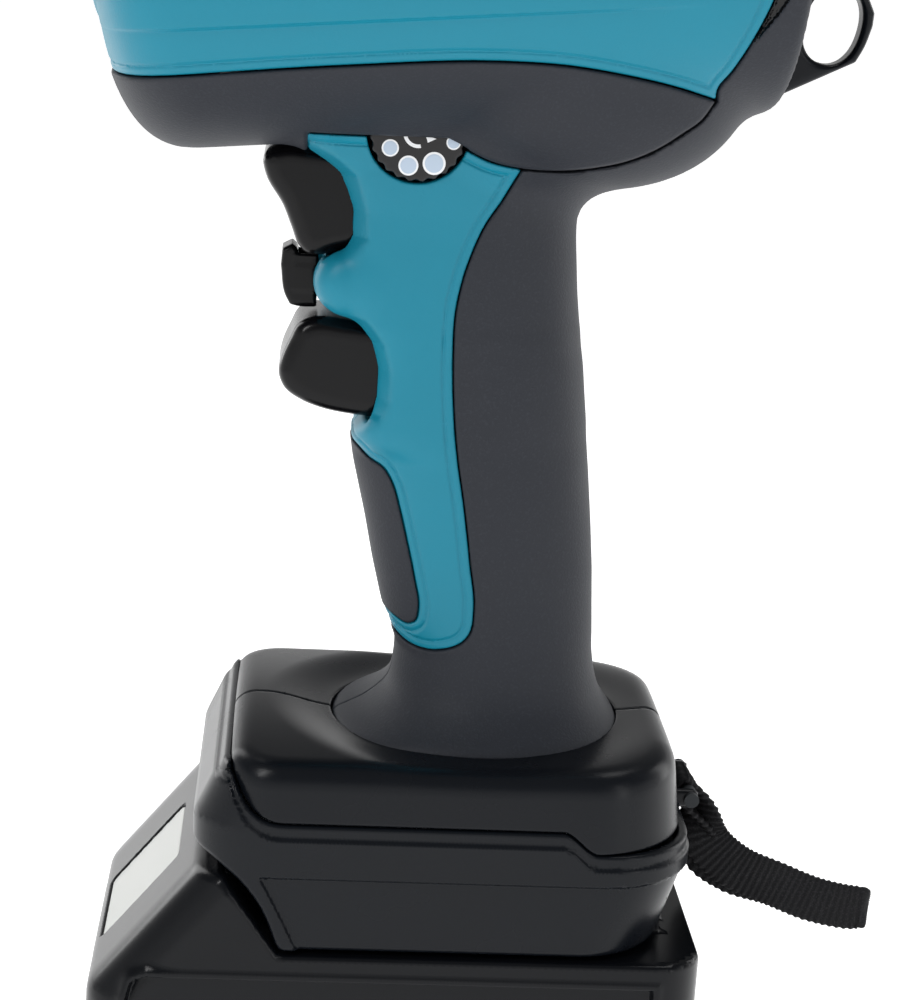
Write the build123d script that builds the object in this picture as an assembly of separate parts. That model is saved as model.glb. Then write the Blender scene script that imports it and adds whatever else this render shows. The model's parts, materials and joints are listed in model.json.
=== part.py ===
# Cordless pistol-grip air blower: a fat motor barrel with a nozzle in front, a leaning
# grip with two finger triggers, a wide foot and a slide-on battery pack.
# Millimetres. +Z is up, the nozzle points towards -X, Y runs across the tool.
# The origin is the centre of the battery pack's flat underside.
import os
from math import cos, radians, sin

from build123d import *

os.makedirs("parts", exist_ok=True)

# ---------------------------------------------------------------- driving dimensions
BATTERY_LENGTH = 118.0
BATTERY_WIDTH = 75.0
BATTERY_SPLIT_Z = 20.0          # joint between the two halves of the battery case
BATTERY_TOP_Z = 47.2            # flat shoulder that the tool's skirt stands over
BATTERY_WALL = 2.2
BATTERY_TRAVEL = 110.0          # how far the pack slides before it is free

NOSE_TOP_Z = 62.5               # top of the pack's sloping front nose
NOSE_SLOPE_TOP_X = -38.6        # where the slope starts
NOSE_SLOPE_FOOT_X = -58.0       # where it ends
NOSE_SLOPE_FOOT_Z = 37.5
SKIRT_EDGE_Z = 64.2             # lower edge of the foot at its front
SKIRT_CUT_TOP = (-32.9, 62.9)   # slanted front edge of the foot's skirt
SKIRT_CUT_FOOT = (-20.8, 45.6)

CELL_R = 9.1
CELL_LENGTH = 64.0
CELL_PITCH = 18.8
CELLS_PER_ROW = 5

FOOT_FRONT_X = -38.8
FOOT_REAR_X = 56.5
FOOT_HALF_WIDTH = 37.6
FOOT_BOTTOM_Z = 48.0
CROWN_Z = 73.6                  # joint between the foot's base and its crown
CROWN_TOP_Z = 86.2
COLLAR_X = 14.4                 # centre of the grip's oval collar
COLLAR_A = 27.8
COLLAR_B = 25.6

BARREL_R = 44.0
BARREL_Z = 242.5                # height of the barrel's axis above the origin
BARREL_TILT = 5.6               # nose-down tilt of the barrel, degrees
DOME_CENTRE_U = -45.0           # where the round nose starts, along the barrel's axis
DOME_LENGTH = 19.0
REAR_U = 70.0
REAR_PLANE_X = 61.5             # upright rear face of the barrel

SKIN = 1.6                      # soft skin moulded over the hard housing
WALL = 2.2
SHELL = SKIN + WALL

TRIGGER_HALF_WIDTH = 11.0
TRIGGER_TRAVEL = 6.0
TRIGGER_GAP = 0.45
LEVER_TRAVEL = 3.0

DIAL_X = -3.4
DIAL_Z = 200.4
DIAL_R = 8.8
DIAL_FACE_Y = -19.4
DIAL_THICK = 3.0

NOZZLE_SHANK_R = 12.6
NOZZLE_BORE_R = 6.5
NOZZLE_TIP_U = -132.0
BOSS_R = 19.0
BOSS_STEP_U = -63.6             # where the boss steps down to the nozzle's collar
COLLET_R = 15.0
BOSS_FRONT_U = -70.0

BLADES = 11                     # backward-raked blades of the fan
BLADE_OFFSET = 6.0
SHAFT_R = 2.5
RUNNING_GAP = 0.05              # radial gap of a shaft in its bearing


# ---------------------------------------------------------------- shape helpers
def box(x0, x1, y0, y1, z0, z1):
    return Pos((x0 + x1) / 2, (y0 + y1) / 2, (z0 + z1) / 2) * Box(x1 - x0, y1 - y0, z1 - z0)


def rod_x(x0, x1, r, y=0.0, z=0.0):
    return Pos((x0 + x1) / 2, y, z) * Rot(0, 90, 0) * Cylinder(r, x1 - x0)


def rod_y(y0, y1, r, x=0.0, z=0.0):
    return Pos(x, (y0 + y1) / 2, z) * Rot(90, 0, 0) * Cylinder(r, y1 - y0)


def rod_z(z0, z1, r, x=0.0, y=0.0):
    return Pos(x, y, (z0 + z1) / 2) * Cylinder(r, z1 - z0)


def tube_x(x0, x1, r_out, r_in):
    return rod_x(x0, x1, r_out) - rod_x(x0 - 1, x1 + 1, r_in)


def slab_y(points, half_width):
    """A side-view outline (x, z) given a thickness across the tool."""
    return extrude(Plane.XZ * make_face(Polyline(*points, close=True)), half_width, both=True)


def between_y(shape, y0, y1):
    return shape & box(-400, 400, y0, y1, -50, 400)


def on_barrel(shape):
    """Places a shape made about the X axis on the tilted axis of the barrel."""
    return Pos(0, 0, BARREL_Z) * Rot(0, -BARREL_TILT, 0) * shape


def oval(z, front, rear, half_width, grow=0.0):
    """A flat-sided oval section of the grip, lying at height z."""
    length = rear - front + 2 * grow
    width = 2 * (half_width + grow)
    corner = 0.42 * min(length, width)
    return Pos((front + rear) / 2, 0, z) * RectangleRounded(length, width, corner)


def rounded_block(sections, grow=0.0):
    """A ruled loft through rounded rectangles (z, x0, x1, half_width, corner)."""
    faces = []
    for z, x0, x1, half_width, corner in sections:
        size_x = x1 - x0 + 2 * grow
        size_y = 2 * (half_width + grow)
        faces.append(Pos((x0 + x1) / 2, 0, z) * RectangleRounded(size_x, size_y, corner + grow))
    return loft(faces, ruled=True)


def one_solid(shape):
    """The largest piece of a shape, without the slivers a cut can leave."""
    return max(shape.solids(), key=lambda s: s.volume)


def group(shapes):
    return Compound(children=[one_solid(shape) for shape in shapes])


def save(shape, name):
    export_step(shape, f"parts/{name}.step")


# ---------------------------------------------------------------- outer form of the housing
# Sections of the grip, from the collar up to the barrel: z, front x, rear x, half width
GRIP_SECTIONS = [
    (95.0, -1.6, 37.4, 18.4), (105.0, -4.2, 36.4, 17.0), (117.0, -7.4, 35.6, 17.0),
    (136.0, -11.9, 33.4, 17.0), (142.0, -12.2, 32.7, 17.0), (147.0, -9.0, 32.1, 17.0),
    (154.0, -8.2, 31.3, 17.0), (163.0, -12.0, 30.0, 17.0), (171.0, -14.5, 28.9, 17.0),
    (180.0, -14.6, 28.0, 17.2), (187.0, -15.5, 29.2, 18.0),
]
RISER_SECTIONS = [
    (187.0, -15.5, 29.2, 18.0), (191.0, -17.0, 39.0, 20.0), (195.0, -18.0, 48.5, 22.5),
    (201.0, -18.0, 55.0, 26.0), (212.0, -18.0, 58.0, 31.0),
]
COLLAR_SECTIONS = [
    (84.0, COLLAR_X - COLLAR_A, COLLAR_X + COLLAR_A, COLLAR_B),
    (86.4, COLLAR_X - COLLAR_A, COLLAR_X + COLLAR_A, COLLAR_B),
    (88.5, COLLAR_X - 23.0, COLLAR_X + 25.3, 22.4), (91.0, COLLAR_X - 18.5, COLLAR_X + 24.1, 20.0),
    (95.0, -1.6, 37.4, 18.4),
]


def barrel_form(grow=0.0):
    radius = BARREL_R + grow
    nose = EllipticalCenterArc((DOME_CENTRE_U, 0), DOME_LENGTH + grow, radius, start_angle=90, arc_size=90)
    rim = (REAR_U, 42.0 + grow)
    side = Polyline((DOME_CENTRE_U - DOME_LENGTH - grow, 0), (REAR_U, 0), rim,
                    (35.0, radius), (DOME_CENTRE_U, radius))
    solid = revolve(Plane.XZ * make_face(nose + side), Axis.X, 360)
    return on_barrel(solid) & box(-90, REAR_PLANE_X + grow, -60, 60, 150, 320)


def section_loft(sections, grow=0.0):
    return loft([oval(z, x0, x1, half, grow) for z, x0, x1, half in sections], ruled=True)


def handle_form(grow=0.0):
    nub = rod_y(-13.0 - grow, 13.0 + grow, 7.4 + grow, x=-14.2, z=171.4)
    return (section_loft(GRIP_SECTIONS, grow) + section_loft(RISER_SECTIONS, grow)
            + section_loft(COLLAR_SECTIONS, grow) + nub)


def nose_boss():
    return on_barrel(rod_x(BOSS_STEP_U, -50.0, BOSS_R) + rod_x(BOSS_FRONT_U, -50.0, COLLET_R))


# Side-view outline of the soft belly cover under the barrel
BELLY_OUTLINE = [
    (-75.0, 206.5), (-50.7, 209.3), (-16.8, 213.2), (9.0, 215.2), (20.6, 215.0), (30.8, 213.8),
    (48.6, 209.6), (46.5, 206.0), (43.0, 203.3), (39.0, 200.4), (33.9, 197.8), (28.7, 196.2),
    (23.5, 195.2), (15.6, 195.0), (10.3, 195.8), (2.0, 199.6), (-12.0, 200.2), (-17.0, 197.6),
    (-19.0, 185.0), (-75.0, 185.0),
]
# Side-view outline of the soft back of the grip, up to the rear rim of the barrel
GRIP_BACK_OUTLINE = [
    (16.5, 194.6), (12.9, 189.2), (9.8, 184.0), (7.6, 178.4), (6.1, 172.8), (5.3, 167.2),
    (5.3, 160.7), (6.2, 147.7), (7.3, 139.8), (9.0, 130.9), (10.8, 119.7), (12.1, 110.4),
    (11.6, 105.6), (10.3, 103.7), (7.4, 102.0), (-0.2, 101.3), (-2.6, 102.2), (-25.0, 102.2),
    (-25.0, 80.0), (70.0, 80.0), (70.0, 300.0), (57.0, 300.0), (57.0, 238.0), (54.7, 227.8),
    (52.1, 220.2), (50.2, 215.6), (48.3, 211.4), (48.6, 209.6), (46.5, 206.0), (43.0, 203.3),
    (39.0, 200.4), (33.9, 197.8), (28.7, 196.2), (23.5, 195.2), (16.6, 195.0),
]
# Side-view outline of the soft insert low on the front of the grip
INSERT_OUTLINE = [
    (-20.0, 139.9), (-11.6, 139.9), (-9.2, 137.9), (-6.2, 136.4), (-4.5, 133.8), (-2.9, 129.0),
    (-1.2, 122.7), (0.5, 115.9), (1.7, 109.0), (1.3, 106.7), (0.1, 105.6), (-3.2, 106.2),
    (-12.0, 106.2),
]

# Side-view outlines of the two triggers; the rear part of each is inside the grip
UPPER_TRIGGER_OUTLINE = [
    (-29.4, 195.2), (-30.9, 193.4), (-31.0, 191.4), (-28.8, 188.4), (-26.5, 183.8), (-24.7, 179.7),
    (-23.6, 177.2), (-22.0, 175.9), (-19.0, 176.2), (-16.0, 178.0), (-8.0, 179.0), (-8.0, 192.6),
    (-19.0, 193.4), (-22.0, 195.2),
]
LOWER_TRIGGER_OUTLINE = [
    (-21.4, 164.3), (-24.0, 161.5), (-26.2, 157.2), (-26.8, 154.4), (-26.0, 152.2), (-24.0, 150.3),
    (-18.7, 147.8), (-13.0, 146.1), (-9.5, 145.6), (-2.0, 149.0), (-2.0, 161.0), (-10.3, 162.6),
    (-14.0, 163.9),
]


# Screws across the grip: x, z and the half width of the grip there
HOUSING_SCREWS = [(15.0, 112.0, 17.0), (15.5, 142.0, 17.0), (36.0, 199.0, 22.0)]


def screw_boss(x, z, half):
    return rod_y(-half + 1.0, half - 1.0, 3.4, x, z)


def screw_room(x, z, half):
    return rod_y(half - 4.4, half + 12.0, 3.0, x, z) + rod_y(-half + 3.0, half, 1.5, x, z)


def housing_screw(x, z, half):
    head = rod_y(half - 4.2, half - 2.2, 2.7, x, z) - box(x - 0.4, x + 0.4, half - 3.0, half, z - 2, z + 2)
    return head + rod_y(-half + 4.0, half - 4.2, 1.42, x, z)


def trigger_room(outline, z_low, z_high):
    """The space a trigger sweeps, with a gap round it."""
    half = TRIGGER_HALF_WIDTH + TRIGGER_GAP
    x_front = min(x for x, z in outline) - TRIGGER_GAP
    x_back = max(x for x, z in outline) + TRIGGER_TRAVEL + 1.0
    return box(x_front, x_back, -half, half, z_low, z_high)


def lever_room():
    face = box(-40, -19.0, -4.0 - LEVER_TRAVEL - 0.5, 4.0 + LEVER_TRAVEL + 0.5, 165.0, 178.5)
    stem = box(-25, -6.0, -2.0 - LEVER_TRAVEL - 0.5, 2.0 + LEVER_TRAVEL + 0.5, 166.5, 175.5)
    return face + stem


def dial_pocket():
    recess = rod_y(DIAL_FACE_Y - 12.0, DIAL_FACE_Y + DIAL_THICK + 0.4, DIAL_R + 0.45, DIAL_X, DIAL_Z)
    return recess + rod_y(-22.0, -10.0, 2.4, DIAL_X, DIAL_Z)


# ---------------------------------------------------------------- housing and soft skins
def housing_solids():
    outer = barrel_form() + handle_form()
    core = barrel_form(-SKIN) + handle_form(-SKIN)
    hollow = barrel_form(-SHELL) + handle_form(-SHELL)
    rear_bore = at_intake(rod_x(INTAKE_REAR_X - 14.0, 90.0, INTAKE_R))
    grip_mouth = box(-6, 32, -13, 13, 76, 95) & section_loft(COLLAR_SECTIONS, -SHELL)
    nose_bore = on_barrel(rod_x(-90.0, -50.0, NOZZLE_SHANK_R + 0.4))
    openings = (hollow + rear_bore + grip_mouth + nose_bore + lever_room() + dial_pocket()
                + trigger_room(UPPER_TRIGGER_OUTLINE, 175.4, 196.2)
                + trigger_room(LOWER_TRIGGER_OUTLINE, 145.2, 164.8))
    belly = slab_y(BELLY_OUTLINE, 60)
    back = slab_y(GRIP_BACK_OUTLINE, 60)
    insert = slab_y(INSERT_OUTLINE, 60)
    skin = outer - core - openings
    hard = (outer - (skin & belly) - (skin & back) - (skin & insert) + nose_boss()) - openings
    rooms = screw_room(*HOUSING_SCREWS[0])
    for screw in HOUSING_SCREWS:
        hard += screw_boss(*screw) & core
        rooms += screw_room(*screw)
    return hard - rooms, (skin & belly) - rooms, (skin & back) - rooms, (skin & insert) - (skin & back)


def save_halves(shape, name):
    save(one_solid(between_y(shape, -80, 0)), f"{name}_left")
    save(one_solid(between_y(shape, 0, 80)), f"{name}_right")


def make_housing():
    hard, belly, back, insert = housing_solids()
    save_halves(hard, "housing")
    save_halves(belly, "belly_cover")
    save_halves(back, "grip_back")
    save_halves(insert, "grip_insert")
    save(group([housing_screw(*screw) for screw in HOUSING_SCREWS]), "housing_screws")


# ---------------------------------------------------------------- rear intake and hanging loop
INTAKE_R = 37.8
INTAKE_Z = 247.4                # centre of the upright round intake
INTAKE_REAR_X = REAR_PLANE_X - 0.9
SCREW_CIRCLE_R = 33.0


def at_intake(shape):
    return Pos(0, 0, INTAKE_Z) * shape


def make_intake():
    front, rear = INTAKE_REAR_X - 2.0, INTAKE_REAR_X
    plate = rod_x(front, rear, INTAKE_R)
    for z, reach in ((-24, 24), (-18, 29), (-12, 32), (12, 32), (18, 29), (24, 24), (30, 16)):
        plate -= box(front - 1, rear + 1, -reach, reach, z - 1.25, z + 1.25)
    for side in (-1, 1):
        for z in (-6, 0, 6):
            y0, y1 = sorted((side * 11.5, side * 33.5))
            plate -= box(front - 1, rear + 1, y0, y1, z - 1.25, z + 1.25)
    cover = plate + tube_x(front - 6.6, rear, INTAKE_R, INTAKE_R - 2.2)
    screws = []
    for angle in (30, 150, 270):
        spin = Rot(angle, 0, 0)
        cover -= spin * rod_x(front - 1, rear + 1, 1.0, 0, SCREW_CIRCLE_R)
        screws.append(at_intake(spin * (rod_x(rear, rear + 1.4, 2.4, 0, SCREW_CIRCLE_R)
                                       + rod_x(front - 5.0, rear, 0.95, 0, SCREW_CIRCLE_R))))
    save(one_solid(at_intake(cover)), "intake_cover")
    save(group(screws), "intake_screws")
    ring = tube_x(front - 8.2, front - 6.8, INTAKE_R - 0.2, INTAKE_R - 4.0)
    mesh = mesh_bars(front - 7.8, front - 7.3, INTAKE_R - 3.0, 6.0, 0.35)
    save(one_solid(at_intake(ring + mesh)), "intake_filter")


def mesh_bars(x0, x1, radius, pitch, half):
    """A crossed grid of bars filling a disc."""
    count = int(radius // pitch)
    grid = None
    for i in range(-count, count + 1):
        at = i * pitch
        reach = (radius * radius - at * at) ** 0.5
        bars = (box(x0, x1, at - half, at + half, -reach, reach)
                + box(x0, x1, -reach, reach, at - half, at + half))
        grid = bars if grid is None else grid + bars
    return grid


LOOP_OUTLINE = [
    (INTAKE_REAR_X, 210.6), (REAR_PLANE_X, 210.6), (REAR_PLANE_X, 208.9), (65.2, 208.9),
    (78.4, 215.6), (80.8, 222.6), (80.8, 224.8), (77.4, 231.6), (72.0, 233.8), (INTAKE_REAR_X, 236.0),
]
LOOP_HOLE = (73.3, 222.0)
LOOP_HALF = 3.0


def make_loop():
    plate = slab_y(LOOP_OUTLINE, LOOP_HALF)
    hole = Pos(LOOP_HOLE[0], 0, LOOP_HOLE[1]) * Rot(0, 12, 0) * (
        box(-5.2, 5.2, -9, 9, -1.8, 1.8) + rod_y(-9, 9, 5.2, 0, 1.8) + rod_y(-9, 9, 5.2, 0, -1.8))
    save(one_solid(plate - hole), "hanging_loop")


# ---------------------------------------------------------------- nozzle
def make_nozzle():
    seat = BOSS_FRONT_U - 8.6
    shank = rod_x(seat, -58.0, NOZZLE_SHANK_R)
    cone = revolve(Plane.XZ * make_face(Polyline((NOZZLE_TIP_U, 0), (seat, 0), (seat, 14.8),
                                                 (seat - 6.0, 14.8), (NOZZLE_TIP_U, 8.6), close=True)),
                   Axis.X, 360)
    air = rod_x(NOZZLE_TIP_U - 1, NOZZLE_TIP_U + 14.0, NOZZLE_BORE_R)
    throat = revolve(Plane.XZ * make_face(Polyline((NOZZLE_TIP_U + 14.0, 0), (-57.0, 0), (-57.0, 10.4),
                                                   (NOZZLE_TIP_U + 14.0, NOZZLE_BORE_R), close=True)),
                     Axis.X, 360)
    save(one_solid(on_barrel(shank + cone - air - throat)), "nozzle")
    ring = tube_x(seat + 0.5, BOSS_FRONT_U - 0.5, 15.4, NOZZLE_SHANK_R + 0.4)
    for i in range(20):
        ring -= Rot(i * 18, 0, 0) * rod_x(seat, BOSS_FRONT_U, 0.8, 0, 15.8)
    save(one_solid(on_barrel(ring)), "nozzle_lock_ring")


# ---------------------------------------------------------------- motor and fan
def make_motor():
    save(on_barrel(rod_x(-44.0, 40.0, SHAFT_R)), "motor_shaft")
    save(on_barrel(tube_x(-30.0, -4.0, 10.4, SHAFT_R)), "motor_rotor")
    stator = tube_x(-30.0, -4.0, 20.5, 17.0)
    for i in range(6):
        tooth = box(-30, -4, -2.2, 2.2, 12.0, 17.6) + box(-30, -4, -4.4, 4.4, 11.2, 12.8)
        stator += Rot(i * 60, 0, 0) * (tooth - rod_x(-31, -3, 11.0))
    save(one_solid(on_barrel(stator)), "motor_stator")
    coils = []
    for i in range(6):
        wrap = box(-32.5, -1.5, -4.4, 4.4, 13.1, 16.2) - box(-30.3, -3.7, -2.5, 2.5, 12, 18)
        coils.append(on_barrel(Rot(i * 60, 0, 0) * wrap))
    save(group(coils), "motor_coils")
    bearings = [on_barrel(tube_x(u, u + 5.0, 8.0, SHAFT_R + RUNNING_GAP)) for u in (-41.0, 2.0)]
    save(group(bearings), "motor_bearings")

    # inner duct: a can round the stator with vanes out to the outer duct
    can = tube_x(-36.0, 8.0, 23.0, 20.6) + tube_x(-42.0, -36.0, 23.0, 8.1) + tube_x(1.0, 8.0, 20.8, 8.1)
    for i in range(7):
        can += Rot(i * 360 / 7, 0, 0) * box(-30, 6, -0.9, 0.9, 22.6, 34.95)
    save(one_solid(on_barrel(can)), "motor_frame")
    dial_relief = rod_y(-30.0, DIAL_FACE_Y + DIAL_THICK + 0.6, DIAL_R + 0.8, DIAL_X, DIAL_Z)
    save(one_solid(on_barrel(tube_x(-38.0, 40.0, 37.4, 35.0)) - dial_relief), "air_duct")

    impeller = rod_x(13.0, 15.0, 33.6) + rod_x(13.0, 34.0, 8.5)
    for i in range(BLADES):
        blade = box(14.5, 29.0, BLADE_OFFSET - 0.9, BLADE_OFFSET + 0.9, 0.0, 33.2)
        impeller += Rot(i * 360 / BLADES, 0, 0) * (blade - rod_x(10, 35, 7.0))
    impeller -= rod_x(10, 38, SHAFT_R)
    save(one_solid(on_barrel(impeller)), "impeller")
    save(on_barrel(tube_x(34.0, 38.0, 5.0, SHAFT_R)), "impeller_nut")
    inlet = revolve(Plane.XZ * make_face(Polyline((30.5, 24.0), (40.0, 30.0), (40.0, 34.8), (37.6, 34.8),
                                                  (37.6, 31.8), (30.5, 26.6), close=True)), Axis.X, 360)
    save(on_barrel(inlet), "fan_inlet")
    save(group([on_barrel(tube_x(u, u + 8.0, 40.0, 37.4)) for u in (-34.0, 24.0)]), "motor_mounts")
    funnel = revolve(Plane.XZ * make_face(Polyline((-57.4, 12.6), (-57.4, 10.6), (-38.4, 34.6),
                                                   (-38.4, 36.6), close=True)), Axis.X, 360)
    save(on_barrel(funnel), "outlet_funnel")


# ---------------------------------------------------------------- triggers, lock and dial
def make_controls():
    half = TRIGGER_HALF_WIDTH
    upper = slab_y(UPPER_TRIGGER_OUTLINE, half) - box(-28.5, -7.0, -half + 2, half - 2, 181.5, 191.5)
    upper += box(-26.5, -3.2, -2.5, 2.5, 184.0, 188.5)
    save(one_solid(upper), "upper_trigger")
    lower = slab_y(LOWER_TRIGGER_OUTLINE, half) - box(-22.0, -1.0, -half + 2, half - 2, 151.5, 159.5)
    lower += box(-23.0, 2.8, -2.5, 2.5, 153.2, 157.6)
    save(one_solid(lower), "lower_trigger")

    lever = box(-25.4, -22.2, -4.0, 4.0, 165.6, 175.2) + box(-27.3, -24.4, -4.0, 4.0, 173.4, 176.8)
    lever += box(-22.6, -8.0, -2.0, 2.0, 167.4, 174.6)
    save(one_solid(lever), "lock_lever")

    dial = rod_y(DIAL_FACE_Y, DIAL_FACE_Y + DIAL_THICK, DIAL_R, DIAL_X, DIAL_Z)
    scallop_r = DIAL_R + 0.3
    for i in range(24):
        turn = radians(i * 15.0)
        dial -= rod_y(-25, -15, 0.75, DIAL_X + scallop_r * cos(turn), DIAL_Z + scallop_r * sin(turn))
    dial += rod_y(DIAL_FACE_Y + DIAL_THICK, -12.6, 2.0, DIAL_X, DIAL_Z)
    save(one_solid(dial), "speed_dial")
    encoder = box(DIAL_X - 5, DIAL_X + 5, -14.6, -11.6, 196.6, 206.0)
    save(one_solid(encoder - rod_y(-20, -8, 2.0 + RUNNING_GAP, DIAL_X, DIAL_Z)), "dial_encoder")

    switch = box(2.0, 19.6, -8.5, 8.5, 178.0, 193.5) - box(1.0, 8.0, -3.2, 3.2, 183.4, 189.1)
    save(one_solid(switch), "speed_switch")
    stop = box(8.0, 21.0, -8.0, 8.0, 149.0, 162.0) - box(7.0, 14.0, -3.2, 3.2, 152.6, 158.2)
    save(one_solid(stop), "boost_switch")
    detent = box(-5.0, 4.0, -6.5, 6.5, 166.4, 175.6) - box(-7.0, 5.0, -5.0, 5.0, 167.0, 175.0)
    detent += box(2.5, 4.0, -5.2, 5.2, 166.8, 175.2)
    save(one_solid(detent), "lock_bracket")
    for name, x0, x1, z in (("upper_trigger_spring", -7.8, 1.8, 181.0),
                            ("lower_trigger_spring", -1.8, 7.8, 150.4)):
        save(coil_spring(x0, x1, -6.0, z), name)


def coil_spring(x0, x1, y, z):
    """Separate turns of round wire standing for a small compression spring."""
    turns = 7
    pitch = (x1 - x0 - 0.6) / (turns - 1)
    rings = [Pos(x0 + 0.3 + i * pitch, y, z) * Rot(0, 90, 0) * Torus(1.1, 0.28) for i in range(turns)]
    return group(rings)


# ---------------------------------------------------------------- foot
CROWN_SECTIONS = [
    (CROWN_Z, -35.6, 55.8, 36.6, 15.0), (81.0, -33.8, 54.0, 35.6, 14.0),
    (84.6, -31.6, 51.6, 33.2, 13.0), (CROWN_TOP_Z, -27.0, 46.0, 28.0, 12.0),
]
BASE_SECTIONS = [
    (FOOT_BOTTOM_Z, -37.4, 55.2, 37.4, 12.0), (63.0, -38.4, 56.2, FOOT_HALF_WIDTH, 12.0),
    (CROWN_Z - 1.6, FOOT_FRONT_X, FOOT_REAR_X, FOOT_HALF_WIDTH, 13.0),
    (CROWN_Z, FOOT_FRONT_X + 1.6, FOOT_REAR_X - 1.0, FOOT_HALF_WIDTH - 1.2, 13.0),
]
RAIL_Z0 = 51.4
RAIL_Z1 = 55.0


def make_foot():
    crown = rounded_block(CROWN_SECTIONS)
    crown -= rounded_block([(z - 2.4, x0, x1, h, c) for z, x0, x1, h, c in CROWN_SECTIONS], -2.4)
    crown -= extrude(oval(70.0, COLLAR_X - COLLAR_A, COLLAR_X + COLLAR_A, COLLAR_B), 30.0)
    save_halves(crown, "foot_crown")

    base = rounded_block(BASE_SECTIONS)
    base -= slab_y([(-60.0, SKIRT_EDGE_Z), (-36.4, SKIRT_EDGE_Z), SKIRT_CUT_TOP, SKIRT_CUT_FOOT,
                    (-20.8, 40.0), (-60.0, 40.0)], 60)
    base -= box(-60, 52.6, -34.9, 34.9, 40.0, SKIRT_EDGE_Z)
    base -= box(-60, -31.0, -9.6, 9.6, 60.0, 65.6)
    base -= box(-35.6, 53.0, -34.6, 34.6, 66.8, 80.0)
    for side in (-1, 1):
        y0, y1 = sorted((side * 22.2, side * 35.6))
        base += box(-19.0, 53.2, y0, y1, RAIL_Z0, RAIL_Z1)
    base -= box(10.0, 42.0, -21.2, 21.2, 60.0, 72.0)
    ears = box(53.0, 60.4, -9.6, -6.6, 66.6, 73.4) + box(53.0, 60.4, 6.6, 9.6, 66.6, 73.4)
    base = base + (ears - box(0, 54.4, -20, 20, 60, 80))
    base -= rod_y(-12, 12, 1.55, 58.4, 70.0)
    save(one_solid(base), "foot_base")
    save(rod_y(-9.6, 9.6, 1.5, 58.4, 70.0), "strap_bar")

    block = box(10.4, 41.6, -20.8, 20.8, 62.0, 67.6)
    save(one_solid(block), "terminal_block")
    blades = [box(16.0, 36.0, y - 0.5, y + 0.5, 54.0, 62.0) for y in (-15.0, -6.0, 6.0, 15.0)]
    save(group(blades), "terminal_blades")
    save(box(-24.0, 46.0, -29.0, 29.0, 69.2, 71.0), "controller_board")
    tray = box(-26.0, 47.6, -30.4, 30.4, 71.0, 76.6) - box(-24.4, 46.0, -28.8, 28.8, 70.0, 75.2)
    save(one_solid(tray), "controller_heatsink")
    chips = [box(x, x + 5.0, -24.0, -18.0, 71.0, 73.0) for x in (-18, -10, -2, 6, 14, 22)]
    capacitor = rod_x(-16.0, -2.0, 2.0, 14.0, 73.0)
    save(group(chips + [capacitor]), "controller_parts")


def make_leads():
    """Three motor leads from the controller up the back of the grip to the motor."""
    leads = []
    for y in (-4.0, 0.0, 4.0):
        path = FilletPolyline((29.0, y, 77.2), (31.0, y, 100.0), (27.0, y, 140.0), (22.2, y, 176.0),
                              (22.0, y, 202.6), radius=[60.0, 120.0, 60.0])
        section = Plane(origin=path @ 0, z_dir=path % 0) * Circle(1.2)
        leads.append(sweep(section, path))
    save(group(leads), "motor_leads")


# ---------------------------------------------------------------- battery pack
BATTERY_FRONT_X = -BATTERY_LENGTH / 2
BATTERY_REAR_X = BATTERY_LENGTH / 2
BATTERY_HALF = BATTERY_WIDTH / 2
BUTTON_HALF = 13.0
BUTTON_TRAVEL = 3.5


def battery_side(grow=0.0):
    """Side view of the pack above its split line, nose slope included."""
    return [
        (BATTERY_FRONT_X - grow, -10.0), (BATTERY_FRONT_X - grow, 36.0),
        (NOSE_SLOPE_FOOT_X - 0.8 * grow, NOSE_SLOPE_FOOT_Z + 0.6 * grow),
        (NOSE_SLOPE_TOP_X - 0.8 * grow, NOSE_TOP_Z + grow), (-33.2 + 0.8 * grow, NOSE_TOP_Z + grow),
        (-22.5 + 0.8 * grow, BATTERY_TOP_Z + grow), (BATTERY_REAR_X + grow, BATTERY_TOP_Z + grow),
        (BATTERY_REAR_X + grow, -10.0),
    ]


def battery_form(grow=0.0):
    plan = extrude(Pos(0, 0, grow * -1.0) * RectangleRounded(BATTERY_LENGTH + 2 * grow,
                                                           BATTERY_WIDTH + 2 * grow, 9.0 + grow), 80.0)
    return slab_y(battery_side(grow), 60) & plan


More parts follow.
